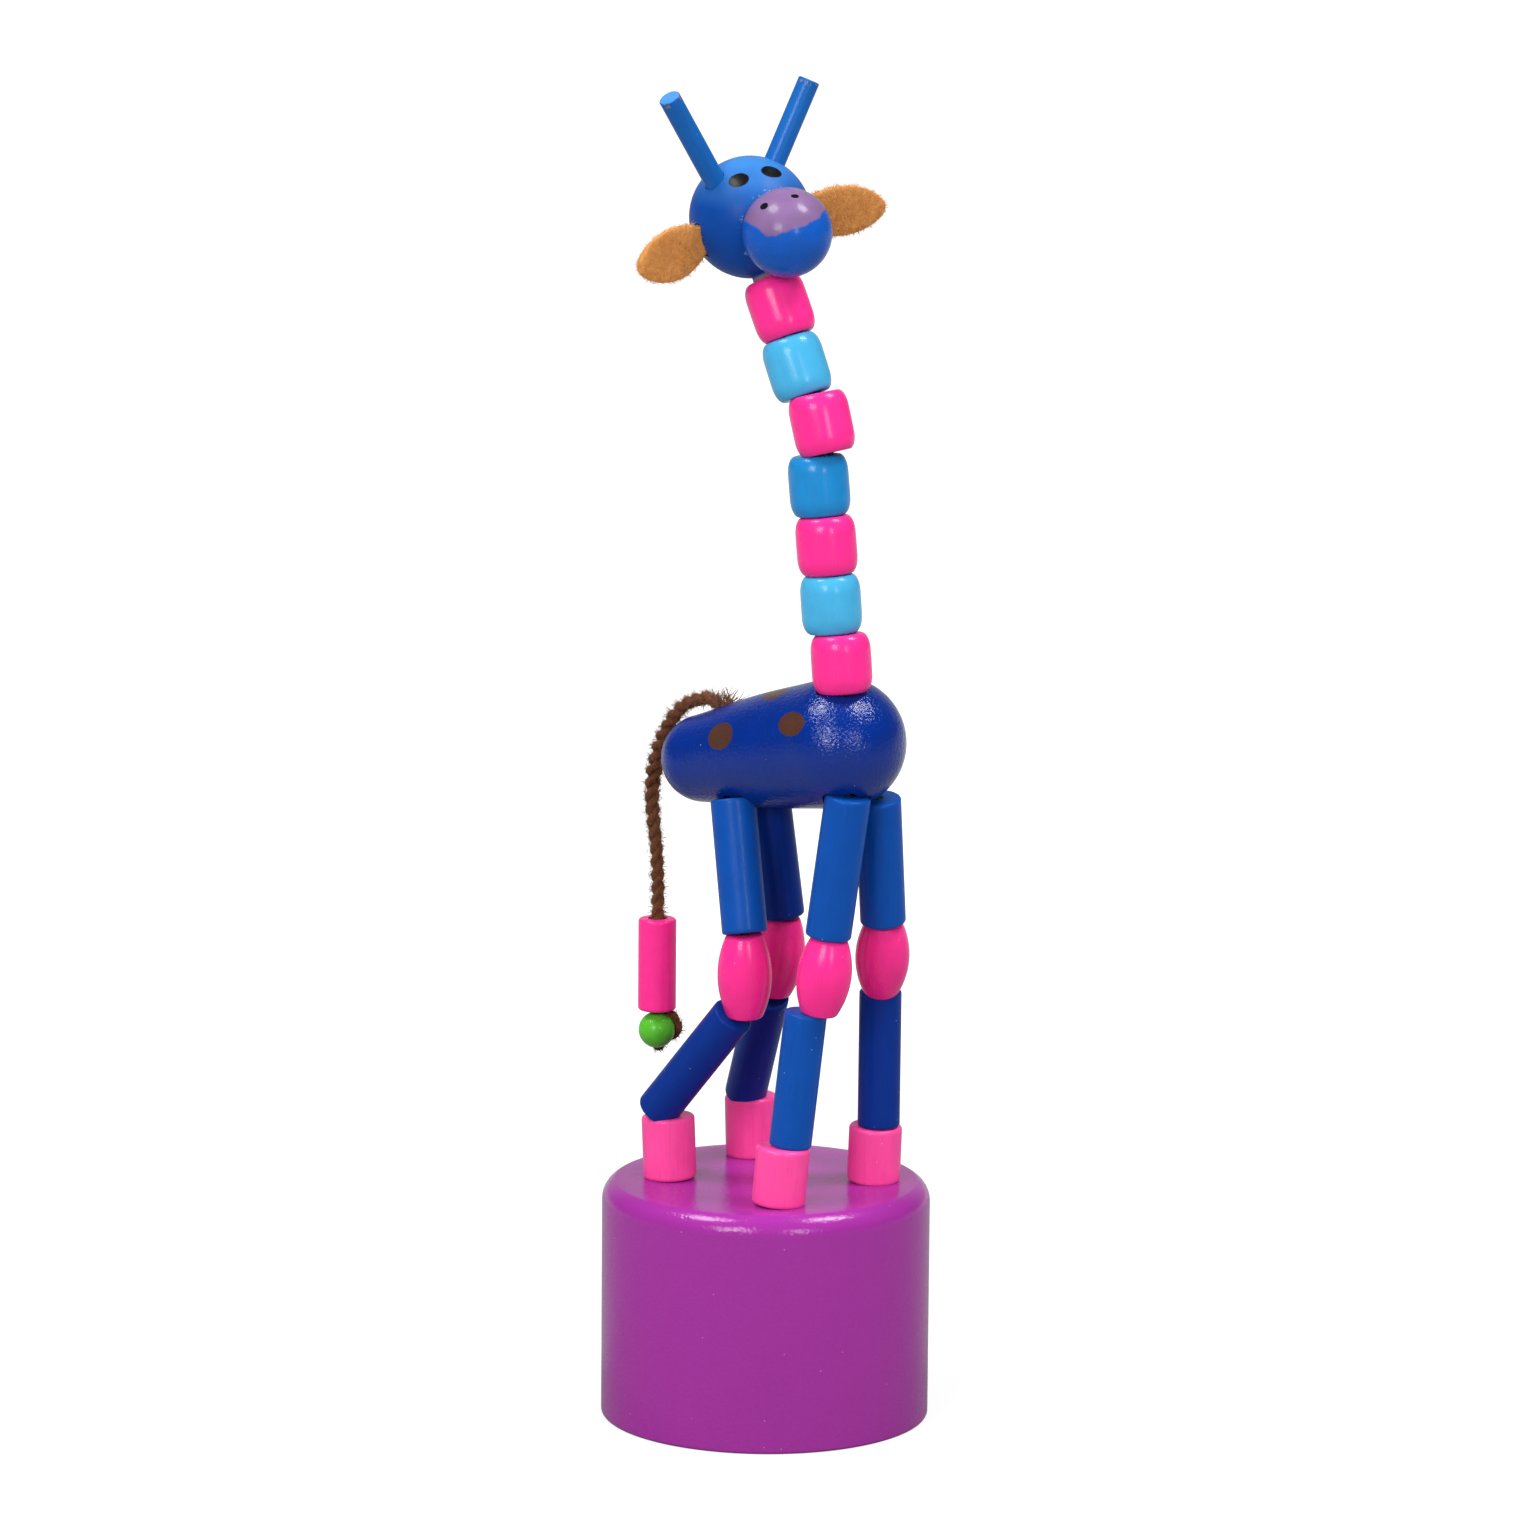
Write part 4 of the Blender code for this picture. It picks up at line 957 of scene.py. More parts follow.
def base_profile():
    reach = base_radius - top_radius
    profile = [(0.0, base_height), (top_radius * 0.5, base_height), (top_radius * 0.9, base_height)]
    profile += [(top_radius - CREASE_WIDTH, base_height), (top_radius, base_height - CREASE_DIP)]
    steep = math.radians(SHOULDER_START)
    for r, h in arc((0.0, 0.0), 1.0, SHOULDER_START, 0.0, 18)[1:]:
        out = (r - math.cos(steep)) / (1 - math.cos(steep))
        down = base_height - CREASE_DIP - SHOULDER * (1 - h / math.sin(steep))
        profile.append((top_radius + reach * out, down))
    profile += arc((base_radius - FOOT_ROUND, FOOT_ROUND), FOOT_ROUND, 0.0, -90.0, 6)
    profile += arc((bore_radius + LIP_ROUND, LIP_ROUND), LIP_ROUND, 270.0, 180.0, 5)
    return profile + [(bore_radius, ceiling), (0.0, ceiling)]


base = spin("base_drum", base_profile(), Matrix(), steps=160)
hole_points = base_points[on_top & (base_away < top_radius - RIM) & (base_away > RIM)]
string_holes = {}
for leg in LEGS:
    fore = 1 if leg.startswith("front") else -1
    left = 1 if leg.endswith("left") else -1
    rim = hole_points[(hole_points[:, 0] * fore > 0) & (hole_points[:, 1] * left > 0)]
    centre = Vector(rim.mean(axis=0))
    hole_radius = np.linalg.norm(rim - np.array(centre), axis=1).max()
    string_holes[leg] = centre
    below = Vector((centre.x, centre.y, ceiling - MM))
    drill(base, below, centre + Vector((0.0, 0.0, MM)), hole_radius)
PURPLE = paint("purple paint", seen(158, 44, 152), grain=0.0, cloud=0.06, gloss=0.2, coat=0.3,
               bump=0.6, shine=0.2, depth=0.2)
dress(base, PURPLE)
base.data.set_sharp_from_angle(angle=math.radians(CREASE_ANGLE))
stand_for(base, "base")
print(f"base {base_radius * 2000:.1f} mm across with {len(string_holes)} string holes")

# %% [markdown]
# ## The button and its spring
#
# Under the base sits a bare wooden disc, which the thumb pushes up. It has a boss that centres the
# spring, and a pocket round each string hole for the knot. The wood is unpainted, so its material
# shows pale growth rings cut across, which a wave along one direction with some noise gives.

# %% Turn the button
BOSS_BAND = 0.8 * MM
BOSS_CLEAR = 0.5 * MM
button_points = points_of("push_button")
button_away = np.hypot(button_points[:, 0], button_points[:, 1])
button_radius = button_away.max()
button_low = button_points[:, 2].min()
boss_top = button_points[:, 2].max()
boss_radius = button_away[button_points[:, 2] > boss_top - BOSS_BAND].max()
button_top = button_points[(button_away > boss_radius + BOSS_CLEAR)][:, 2].max()
BUTTON_ROUND = 0.7 * MM
BUTTON_HOLE = 0.85 * MM
KNOT_POCKET_RADIUS = 1.7 * MM
KNOT_POCKET_DEPTH = 2.9 * MM


def button_profile():
    profile = [(0.0, boss_top)]
    profile += arc((boss_radius - BUTTON_ROUND, boss_top - BUTTON_ROUND), BUTTON_ROUND, 90.0, 0.0, 6)
    profile.append((boss_radius, button_top))
    profile += arc((button_radius - BUTTON_ROUND, button_top - BUTTON_ROUND), BUTTON_ROUND, 90.0, 0.0, 6)
    profile += arc((button_radius - BUTTON_ROUND, button_low + BUTTON_ROUND), BUTTON_ROUND, 0.0, -90.0, 6)
    return profile + [(button_radius * 0.5, button_low), (0.0, button_low)]


def make_bare_wood():
    material, tree, shader = new_material("bare wood")
    place = add(tree, "ShaderNodeTexCoord").outputs["Object"]
    long = stretched(tree, place, 160.0, 900.0, 900.0)
    rings = add(tree, "ShaderNodeTexWave", {"bands_direction": "Y"}, Vector=long, Scale=0.16, Distortion=3.5,
                Detail=3.0, Detail_Scale=1.2).outputs[1]
    pores = noise(tree, stretched(tree, place, 300.0, 4200.0, 4200.0), 1.0, 4.0)
    dark = ramp(tree, pores, 0.52, 0.75)
    colour = mix_colour(tree, rings, seen(222, 190, 146), seen(204, 166, 118))
    colour = mix_colour(tree, dark * 0.5, colour, seen(158, 116, 74))
    lay_finish(tree, shader, colour, dark * 0.2 + 0.55, 1.0 - dark, 0.3, 0.1 * MM)
    return material


knot_places = {}
for leg in LEGS:
    string_points = points_of(f"string_{leg}")
    knot = string_points[string_points[:, 2] < button_low + KNOT_POCKET_DEPTH]
    knot_places[leg] = Vector(((knot.max(axis=0) + knot.min(axis=0)) / 2))
BARE_WOOD = make_bare_wood()
button = spin("push_button_disc", button_profile(), Matrix(), steps=128)
for place in knot_places.values():
    low = Vector((place.x, place.y, button_low - MM))
    drill(button, low, Vector((place.x, place.y, button_top + MM)), BUTTON_HOLE)
    drill(button, low, Vector((place.x, place.y, button_low + KNOT_POCKET_DEPTH)), KNOT_POCKET_RADIUS)
stand_for(dress(button, BARE_WOOD), "push_button")
print(f"button {button_radius * 2000:.1f} mm across")

# %% [markdown]
# The spring pushes the button back down. It is a helix of steel wire with a closer turn at each
# end. It has to shorten as the button rises; here it is one fixed coil between the button and the
# ceiling that it bears on.

# %% Wind the spring
SPRING_WIRE = 0.8 * MM
SPRING_BORE = 8.2 * MM
SPRING_TURNS = 5
SPRING_END_PITCH = 1.3 * MM
SPRING_GAP = 0.3 * MM
STEPS_PER_TURN = 40
TUBE_SMOOTH = 60.0


def spring_line():
    radius = (SPRING_BORE + SPRING_WIRE) / 2
    low = button_top + SPRING_GAP + SPRING_WIRE / 2
    high = ceiling - SPRING_GAP - SPRING_WIRE / 2
    pitch = (high - low - 2 * SPRING_END_PITCH) / (SPRING_TURNS - 2)
    line = []
    for step in range(SPRING_TURNS * STEPS_PER_TURN + 1):
        turn = step / STEPS_PER_TURN
        middle = min(max(turn - 1, 0.0), SPRING_TURNS - 2)
        height = low + (turn - middle) * SPRING_END_PITCH + middle * pitch
        a = 2 * math.pi * turn
        line.append(Vector((radius * math.cos(a), radius * math.sin(a), height)))
    return line


def make_steel():
    material, tree, shader = new_material("spring steel")
    drawn = noise(tree, stored(tree, "twist"), 3.0, 4.0)
    colour = mix_colour(tree, drawn, seen(150, 152, 158), seen(214, 214, 218))
    feed(tree, shader.inputs["Base Color"], colour)
    feed(tree, shader.inputs["Roughness"], drawn * 0.25 + 0.18)
    shader.inputs["Metallic"].default_value = 1.0
    return material


spring_shape = bmesh.new()
tube_into(spring_shape, spring_line(), SPRING_WIRE / 2)
spring = dress(finished_mesh("return_spring_coil", spring_shape, TUBE_SMOOTH), make_steel())
stand_for(spring, "return_spring")
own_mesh(spring)

# %% [markdown]
# ## The strings
#
# Each leg has a string, knotted under the button, that runs up through the beads and keeps them
# standing. A string crosses every joint of its leg, so it is laid in stretches, each from the middle
# of one bead through the joint to the middle of the next. In the neck the beads all hang on the
# body, so each carries its own short stretch of the two front strings. Only the front left hip is a
# joint of the frame. At the other three, which open when the legs fold, the string is in two ends.


# %% The string's finish
def make_string_finish():
    material, tree, shader = new_material("dark string")
    fibres = noise(tree, stretched(tree, stored(tree, "twist"), 2.2, 2.2, 0.5), 1.6, 4.0)
    colour = mix_colour(tree, fibres, seen(30, 27, 28), seen(82, 74, 72))
    lay_finish(tree, shader, colour, fibres * 0.3 + 0.6, fibres, 0.6, 0.1 * MM)
    return material


STRING_FINISH = make_string_finish()
STRING_RADIUS = 0.45 * MM
STRAND_RADIUS = 0.27 * MM
STRING_LAY = 1.6 * MM
STRING_STEP = 0.25 * MM
STRING_ENDS_OUT = 0.6 * MM
STRING_BEND = 0.25 * MM
STRAND_TWIST = 1.0 * MM
KNOT_SIZE = 0.27 * MM
KNOT_STEPS = 60


def string_into(shape, points):
    """Add a string of two strands, laid round a smooth line through the points."""
    line = []
    for start, end in zip(points, points[1:]):
        count = max(2, int((end - start).length / STRING_STEP))
        line += [start.lerp(end, step / count) for step in range(count)]
    line.append(points[-1])
    reaches = [STRING_RADIUS - STRAND_RADIUS] * len(line)
    for phase in (0.0, math.pi):
        tube_into(shape, helix(line, phase, STRING_LAY, reaches), STRAND_RADIUS, 6, STRAND_TWIST)


def knot_into(shape, place):
    """Add an overhand knot: a string that passes through its own loop."""
    line = []
    for step in range(KNOT_STEPS + 1):
        t = 2 * math.pi * step / KNOT_STEPS
        line.append(place + KNOT_SIZE * Vector((
            math.sin(t) + 2 * math.sin(2 * t), math.cos(t) - 2 * math.cos(2 * t), -2.0 * math.sin(3 * t))))
    tube_into(shape, line, STRING_RADIUS, 8, STRAND_TWIST)


def finish_string(name, shape, *nodes):
    piece = dress(finished_mesh(name, shape, TUBE_SMOOTH), STRING_FINISH)
    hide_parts(*nodes)
    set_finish(piece, slot_of(nodes[0]))
    return piece


def stretch(name, points, *nodes):
    shape = bmesh.new()
    string_into(shape, points)
    return finish_string(name, shape, *nodes)


# %% String the legs
LOOSE_HIPS = ("front_right", "rear_left", "rear_right")
KNOT_TOP = Vector((0.0, 0.0, 0.6 * MM))
INSIDE_MM = 5


def string_leg(leg):
    """A leg's string in stretches, from its knot to its hip."""
    node = f"string_{leg}"
    hoof, shin, knee, thigh = (f"{piece}_{leg}" for piece in LEG_PIECES)
    knot = knot_places[leg]
    eye = Vector((knot.x, knot.y, button_top))
    hole = string_holes[leg]
    roof = Vector((hole.x, hole.y, ceiling))
    shape = bmesh.new()
    knot_into(shape, knot)
    string_into(shape, [knot + KNOT_TOP, eye, roof, sizes[hoof]["middle"]])
    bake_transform(finish_string(f"{node}_foot", shape, node))
    bodies = ("base", shin, knee, thigh)
    for low, high, below, above in zip((hoof, shin, knee), (shin, knee, thigh), bodies, bodies[1:]):
        meeting = (top_of(low) + foot_of(high)) / 2
        points = [sizes[low]["middle"], meeting, sizes[high]["middle"]]
        piece = stretch(f"{node}_{low.split('_')[0]}", points, node)
        half = STRING_BEND * sizes[high]["axis"]
        meeting - half
        meeting + half
        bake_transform(piece)
    top = top_of(thigh)
    inside = top + sizes[thigh]["axis"] * INSIDE_MM * MM
    if leg in LOOSE_HIPS:
        out = top + sizes[thigh]["axis"] * 2 * STRING_ENDS_OUT
        ends = stretch(f"{node}_hip", [sizes[thigh]["middle"], out], node)
        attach(ends, thigh)
        seat = top + sizes[thigh]["axis"] * (THIGH_TUCK[leg] + STRING_ENDS_OUT / 2)
        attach(stretch(f"{node}_end", [seat, inside], node), "body")
    else:
        piece = stretch(f"{node}_hip", [sizes[thigh]["middle"], top, inside], node)
        top + sizes[thigh]["axis"] * 2 * STRING_ENDS_OUT
        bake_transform(piece)


for leg in LEGS:
    string_leg(leg)
leg_strings = [o for o in bpy.data.objects if o.name.startswith("string_") and "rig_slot" in o]
print(len(leg_strings), "stretches in the legs")

# %% String the neck
PAIR_ASIDE = 0.55 * MM
ROOT_MM = 7
FRONT_STRINGS = ("string_front_left", "string_front_right")


def string_pair(name, start, end, body_name):
    """The two front strings side by side, along one piece of the neck."""
    across = (end - start).cross(Vector((1.0, 0.0, 0.0))).normalized() * PAIR_ASIDE
    shape = bmesh.new()
    for aside in (across, -across):
        string_into(shape, [start + aside, end + aside])
    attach(finish_string(name, shape, *FRONT_STRINGS), body_name)


for node in NECK:
    out = sizes[node]["axis"] * STRING_ENDS_OUT
    string_pair(f"string_{node}", foot_of(node) - out, top_of(node) + out, node)
first, last = sizes[NECK[0]]["axis"], sizes[NECK[-1]]["axis"]
neck_foot, neck_top = foot_of(NECK[0]), top_of(NECK[-1])
string_pair("string_neck_root", neck_foot - first * ROOT_MM * MM, neck_foot + first * STRING_ENDS_OUT, "body")
string_pair("string_neck_end", neck_top - last * STRING_ENDS_OUT, neck_top + last * INSIDE_MM * MM, "head")
print("neck strung")

# %% [markdown]
# ## The body
#
# The body is one egg, turned with a large ball in front and a small one behind. It is the glossiest
# piece, and it carries brown painted spots. The two ends of the egg's solid are its farthest
# points, and they give its axis, which droops a touch more at the rear here than in the solid. Each
# thigh sits in a shallow seat. The front thighs swing up under the body when the button is pressed,
# so their seats are cut a second time in that position.

# %% Turn the body
BODY_FRONT_RADIUS = 8.35 * MM
BODY_REAR_RADIUS = 5.6 * MM
BODY_FULLNESS = 0.3 * MM
BODY_DROOP = math.radians(2.2)
BODY_GRAIN = 1.3
NECK_SEAT_DEPTH = 0.25 * MM
NECK_SEAT_INSET = 0.4 * MM
NECK_BORE, NECK_BORE_MM = 1.7 * MM, 8
RUMP_HOLE, RUMP_IN_MM, RUMP_OUT_MM = 1.0 * MM, 3, 4
HIP_BORE, HIP_MM = 1.2 * MM, 6
SEAT_GAP = 0.15 * MM
HIP_HINGE = Vector((17.5, 0.0, 80.6)) * MM
HIP_TURN = math.radians(-71.0)
SWING_GAP = 0.5 * MM
body_points = points_of("body")
gaps = np.linalg.norm(body_points[:, None, :] - body_points[None, :, :], axis=2)
ends = np.unravel_index(int(gaps.argmax()), gaps.shape)
nose, tail_end = sorted((Vector(body_points[i]) for i in ends), key=lambda point: -point.x)
body_axis = (nose - tail_end).normalized()
body_span = (nose - tail_end).length - BODY_FRONT_RADIUS - BODY_REAR_RADIUS
front_ball = nose - body_axis * BODY_FRONT_RADIUS
across = body_axis.cross(Vector((0.0, 0.0, 1.0))).normalized()
body_axis = Matrix.Rotation(BODY_DROOP, 3, across) @ body_axis
rear_ball = front_ball - body_axis * body_span


def body_profile():
    """The egg's outline, from its front end back to its rear end."""
    slope = math.asin((BODY_FRONT_RADIUS - BODY_REAR_RADIUS) / body_span)
    front = arc((0.0, body_span), BODY_FRONT_RADIUS, 90.0, -math.degrees(slope), 36)
    rear = arc((0.0, 0.0), BODY_REAR_RADIUS, -math.degrees(slope), -90.0, 28)
    waist = []
    for step in range(1, 32):
        share = step / 32
        radius = front[-1][0] + (rear[0][0] - front[-1][0]) * share
        height = front[-1][1] + (rear[0][1] - front[-1][1]) * share
        waist.append((radius + BODY_FULLNESS * math.sin(math.pi * share) ** 2, height))
    return front + waist + rear


body_matrix = aim_matrix(rear_ball, body_axis)
body = spin("body_egg", body_profile(), body_matrix, steps=128, grain_offset=BODY_GRAIN)
bead = sizes[NECK[0]]
seat = bead["middle"] - bead["axis"] * (bead["length"] / 2 + NECK_SEAT_DEPTH)
drill(body, seat, seat + bead["axis"] * bead["length"], bead["radius"] - NECK_SEAT_INSET, 96)
drill(body, seat - bead["axis"] * NECK_BORE_MM * MM, seat + bead["axis"] * MM, NECK_BORE)
yarn_out = (TAIL_ROUTE[1] - TAIL_ROUTE[0]).normalized()
rump = TAIL_ROUTE[0]
drill(body, rump - yarn_out * RUMP_IN_MM * MM, rump + yarn_out * RUMP_OUT_MM * MM, RUMP_HOLE)
for leg in LEGS:
    hip, thigh_axis = top_of(f"thigh_{leg}"), sizes[f"thigh_{leg}"]["axis"]
    drill(body, hip - thigh_axis * MM, hip + thigh_axis * HIP_MM * MM, HIP_BORE)
hinge = Matrix.Translation(HIP_HINGE)
swing = hinge @ Matrix.Rotation(HIP_TURN, 4, "Y") @ hinge.inverted()
for leg in LEGS:
    thigh = sizes[f"thigh_{leg}"]
    hip = top_of(f"thigh_{leg}") + thigh["axis"] * (THIGH_TUCK[leg] + SEAT_GAP)
    below = hip - thigh["axis"] * HIP_MM * MM
    drill(body, below, hip, thigh["radius"] + SEAT_GAP, 64)
    if leg.startswith("front"):
        drill(body, swing @ below, swing @ hip, thigh["radius"] + SWING_GAP, 64)

# %% Paint the body and its spots
SPOT_BROWN = seen(82, 50, 28)
SPOT_PLACES = (
    (7.5, -63.5, 4.3, 3.6), (19.5, -63.5, 4.4, 3.2), (14.1, -15.0, 4.4, 3.6),
    (7.5, 63.5, 4.3, 3.6), (19.5, 63.5, 4.4, 3.2))
body_up = (Vector((0.0, 0.0, 1.0)) - body_axis * body_axis.z).normalized()
body_left = body_up.cross(body_axis)


def body_spot(place, turn, width, height):
    """A spot at a place along the axis, turned from the top towards the left."""
    outline = sorted((height, radius) for radius, height in body_profile())
    radius = float(np.interp(place, [h for h, _ in outline], [r for _, r in outline]))
    facing = body_up * math.cos(turn) + body_left * math.sin(turn)
    return dab(rear_ball + body_axis * place + facing * radius, facing, width, height, wobble=0.2)


spots = [mark(body_spot(place * MM, math.radians(turn), width * MM, height * MM), SPOT_BROWN,
              gloss=0.3, cover=0.96)
         for place, turn, width, height in SPOT_PLACES]
BODY_BLUE = paint("body blue paint", seen(2, 43, 133), gloss=0.16, coat=0.7, bump=0.8, shine=0.06,
                  depth=0.3, marks=spots)
dress(body, BODY_BLUE)
stand_for(body, "body")
print(f"body {(nose - tail_end).length * 1000:.1f} mm long with {len(spots)} spots")

# %% [markdown]
# ## The head
#
# The head is a ball on a short stub, with a smaller ball glued on for the muzzle. The muzzle is
# hollowed at the back to sit on the head, and since both are balls, that hollow is one more arc in
# its profile.

# %% Turn the head and the muzzle
STUB_RADIUS = 2.3 * MM
STUB_LENGTH = 0.6 * MM
STUB_BORE = 1.7 * MM
HEAD_HOLE = 6.0 * MM
GLUE_GAP = 0.1 * MM
HEAD_GRAIN, MUZZLE_GRAIN, HORN_GRAIN = 1.5, 1.6, 1.7
head_axis = sizes[NECK[-1]]["axis"]


def head_profile():
    stub_angle = -math.degrees(math.acos(STUB_RADIUS / head_radius))
    end = -head_radius - STUB_LENGTH
    profile = arc((0.0, 0.0), head_radius, 90.0, stub_angle, 60)
    return profile + [
        (STUB_RADIUS, end), (STUB_BORE, end), (STUB_BORE, end + HEAD_HOLE), (0.0, end + HEAD_HOLE)]


def muzzle_profile(reach):
    """The muzzle round the line from the head's centre, with the head's own curve at its back."""
    back = head_radius + GLUE_GAP
    meet = (reach ** 2 + muzzle_radius ** 2 - back ** 2) / (2 * reach)
    edge = -math.degrees(math.asin(meet / muzzle_radius))
    front = arc((0.0, 0.0), muzzle_radius, 90.0, edge, 48)
    rim = math.degrees(math.asin((reach - meet) / back))
    return front + arc((0.0, -reach), back, rim, 90.0, 20)[1:]


muzzle_reach = (muzzle_centre - head_centre).length
face_out = (muzzle_centre - head_centre).normalized()
head = spin("head_turned", head_profile(), aim_matrix(head_centre, head_axis), 128, grain_offset=HEAD_GRAIN)
muzzle = spin("muzzle_turned", muzzle_profile(muzzle_reach), aim_matrix(muzzle_centre, face_out),
              grain_offset=MUZZLE_GRAIN)
print(f"muzzle stands {muzzle_reach * 1000:.1f} mm from the head's centre")

# %% Let in the horns
horn_sizes = {side: measure_turned(f"horn_{side}") for side in ("left", "right")}
HORN_EDGE = 0.15 * MM
HORN_ROWS = 8
HORN_FIT = 0.05 * MM
HORN_HOLE_END = 0.2 * MM
HORN_BLUE = seen(20, 98, 178)
HORN_END = seen(76, 142, 208)
CHIPPED = seen(150, 120, 96)
for side, size in horn_sizes.items():
    half = size["length"] / 2
    radius = size["radius"]
    profile = [(0.0, half), (radius - HORN_EDGE, half), (radius, half - HORN_EDGE)]
    shares = [step / HORN_ROWS for step in range(1, HORN_ROWS)]
    profile += [(radius, half * (1 - share) - half * share) for share in shares]
    profile += [(radius, -half), (0.0, -half)]
    place = aim_matrix(size["middle"], size["axis"])
    horn = spin(f"horn_{side}_dowel", profile, place, 48, grain_offset=HORN_GRAIN)
    tip = size["middle"] + size["axis"] * half
    horn_marks = [
        mark(seam(tip, radius, width=0.22 * MM, broken=0.56), CHIPPED, gloss=0.5, cover=0.8),
        mark(dip_and_sheen(size["middle"], size["axis"], half - 0.06 * MM, softness=0.03 * MM, wobble=0.05), HORN_END,
             gloss=0.35, cover=0.85)]
    dress(horn, paint(f"horn {side} paint", HORN_BLUE, gloss=0.3, shine=0.16, marks=horn_marks))
    stand_for(horn, f"horn_{side}")
    foot = size["middle"] - size["axis"] * (half + HORN_HOLE_END)
    drill(head, foot, tip, radius + HORN_FIT)
print("horns let in")

# %% [markdown]
# ## The ears
#
# The ears are leaves cut from thick tan felt, with their roots pushed into slots in the head. Felt
# has no weave: it is matted fibres. So each leaf is a rounded, slightly cupped form, and a coat of
# short fibres grows on it. A Geometry Nodes tree scatters them, because it can follow any surface.


# %% The tree for short fibres
FIBRE_SHORTEST, FIBRE_LONGEST = 0.45, 1.3
FIBRE_TIP = 0.35


def make_fibre_tree():
    tree, size, result = new_group(
        "short fibres", "GeometryNodeTree",
        [("Surface", "NodeSocketGeometry", None), ("Density", "NodeSocketFloat", 1e7),
         ("Length", "NodeSocketFloat", 0.0005), ("Radius", "NodeSocketFloat", 0.00002),
         ("Lean", "NodeSocketFloat", 0.8), ("Curl", "NodeSocketFloat", 0.3),
         ("Seed", "NodeSocketInt", 1), ("Material", "NodeSocketMaterial", None)],
        [("Geometry", "NodeSocketGeometry")])
    spread = add(tree, "GeometryNodeDistributePointsOnFaces", Mesh=size["Surface"], Density=size["Density"],
                 Seed=size["Seed"])
    fibre = add(tree, "GeometryNodeMeshCone", {"fill_type": "NONE"}, Vertices=3, Side_Segments=3,
                Radius_Top=size["Radius"] * FIBRE_TIP, Radius_Bottom=size["Radius"], Depth=size["Length"])
    where = add(tree, "GeometryNodeInputPosition").outputs[0]
    level = add(tree, "ShaderNodeSeparateXYZ", Vector=where).outputs["Z"]
    share = Number(tree, level) / size["Length"]
    side = share * share * (size["Length"] * size["Curl"])
    curled = add(tree, "GeometryNodeSetPosition", Geometry=fibre.outputs["Mesh"],
                 Offset=add(tree, "ShaderNodeCombineXYZ", X=side).outputs[0])
    planted = add(tree, "GeometryNodeInstanceOnPoints", Points=spread.outputs["Points"],
                  Instance=curled.outputs[0], Rotation=spread.outputs["Rotation"])
    tilt = add(tree, "FunctionNodeRandomValue", {"data_type": "FLOAT_VECTOR"}, Seed=size["Seed"])
    most = add(tree, "ShaderNodeCombineXYZ", X=size["Lean"], Y=size["Lean"], Z=math.pi).outputs[0]
    least = add(tree, "ShaderNodeVectorMath", {"operation": "SCALE"}, Scale=-1.0)
    feed(tree, least.inputs[0], most)
    feed(tree, tilt.inputs[0], least.outputs[0])
    feed(tree, tilt.inputs[1], most)
    leaning = add(tree, "GeometryNodeRotateInstances", Instances=planted.outputs[0], Rotation=tilt.outputs[0])
    grown = add(tree, "FunctionNodeRandomValue", {"data_type": "FLOAT"}, Seed=size["Seed"] + 7)
    feed(tree, grown.inputs[2], FIBRE_SHORTEST)
    feed(tree, grown.inputs[3], FIBRE_LONGEST)
    scaled = add(tree, "GeometryNodeScaleInstances", Instances=leaning.outputs[0], Scale=grown.outputs[1])
    whole = add(tree, "GeometryNodeRealizeInstances", Geometry=scaled.outputs[0])
    dressed = add(tree, "GeometryNodeSetMaterial", Geometry=whole.outputs[0], Material=size["Material"])
    feed(tree, result.inputs["Geometry"], dressed.outputs[0])
    return tree


FIBRE_TREE = make_fibre_tree()


def grow_fibres(name, surface, material, per_mm2, length, radius, lean, curl, seed):
    """A coat of short fibres on a piece, as a piece of its own."""
    mesh = grow(FIBRE_TREE, name, {
        "Density": per_mm2 / MM ** 2, "Length": length, "Radius": radius, "Lean": lean, "Curl": curl,
        "Seed": seed, "Material": material}, surface)
    mesh.shade_smooth()
    print(f"{name}: {len(mesh.polygons)} faces")
    return put(name, mesh)


# %% Felt
def make_felt(name, pale, dark, patch, relief_strength):
    """Matted fibres: soft patches, and a fine tangle of lines."""
    material, tree, shader = new_material(name)
    place = add(tree, "ShaderNodeTexCoord").outputs["Object"]
    patches = noise(tree, place, patch, 3.0)
    tangle = noise(tree, place, 4200.0, 4.0, Distortion=1.6)
    mixed = patches * 0.5 + tangle * 0.5
    colour = mix_colour(tree, ramp(tree, mixed, 0.35, 0.65), dark, pale)
    lay_finish(tree, shader, colour, tangle * 0.2 + 0.8, tangle, relief_strength, 0.2 * MM)
    shader.inputs["Specular IOR Level"].default_value = 0.15
    shader.inputs["Sheen Weight"].default_value = 0.15
    return material


FELT = make_felt("tan felt", seen(246, 180, 98), seen(214, 136, 60), 1100.0, 0.9)
FELT_FIBRE = make_felt("felt fibre", seen(252, 194, 120), seen(206, 136, 66), 1300.0, 0.2)


# %% Cut the ears
EAR_THICKNESS = 1.2 * MM
EAR_ROOT = 1.6 * MM
EAR_CUP = 0.35 * MM
EAR_SPREAD = {"left": (1.2, 1.0), "right": (0.93, 1.06)}
EAR_ROUNDING = 3.2
EAR_ROWS, EAR_STEPS = 44, 40
EAR_TAPER, EAR_FULLNESS = 1.05, 0.55
EAR_EDGE = 0.5 * MM
EAR_SMOOTH = 70.0
EAR_SLOT_SHARE = 0.66
EAR_SLOT_GAP = 0.1 * MM
EAR_FUZZ = {"per_mm2": 30.0, "length": 0.48 * MM, "radius": 0.03 * MM, "lean": 1.3, "curl": 0.9, "seed": 3}


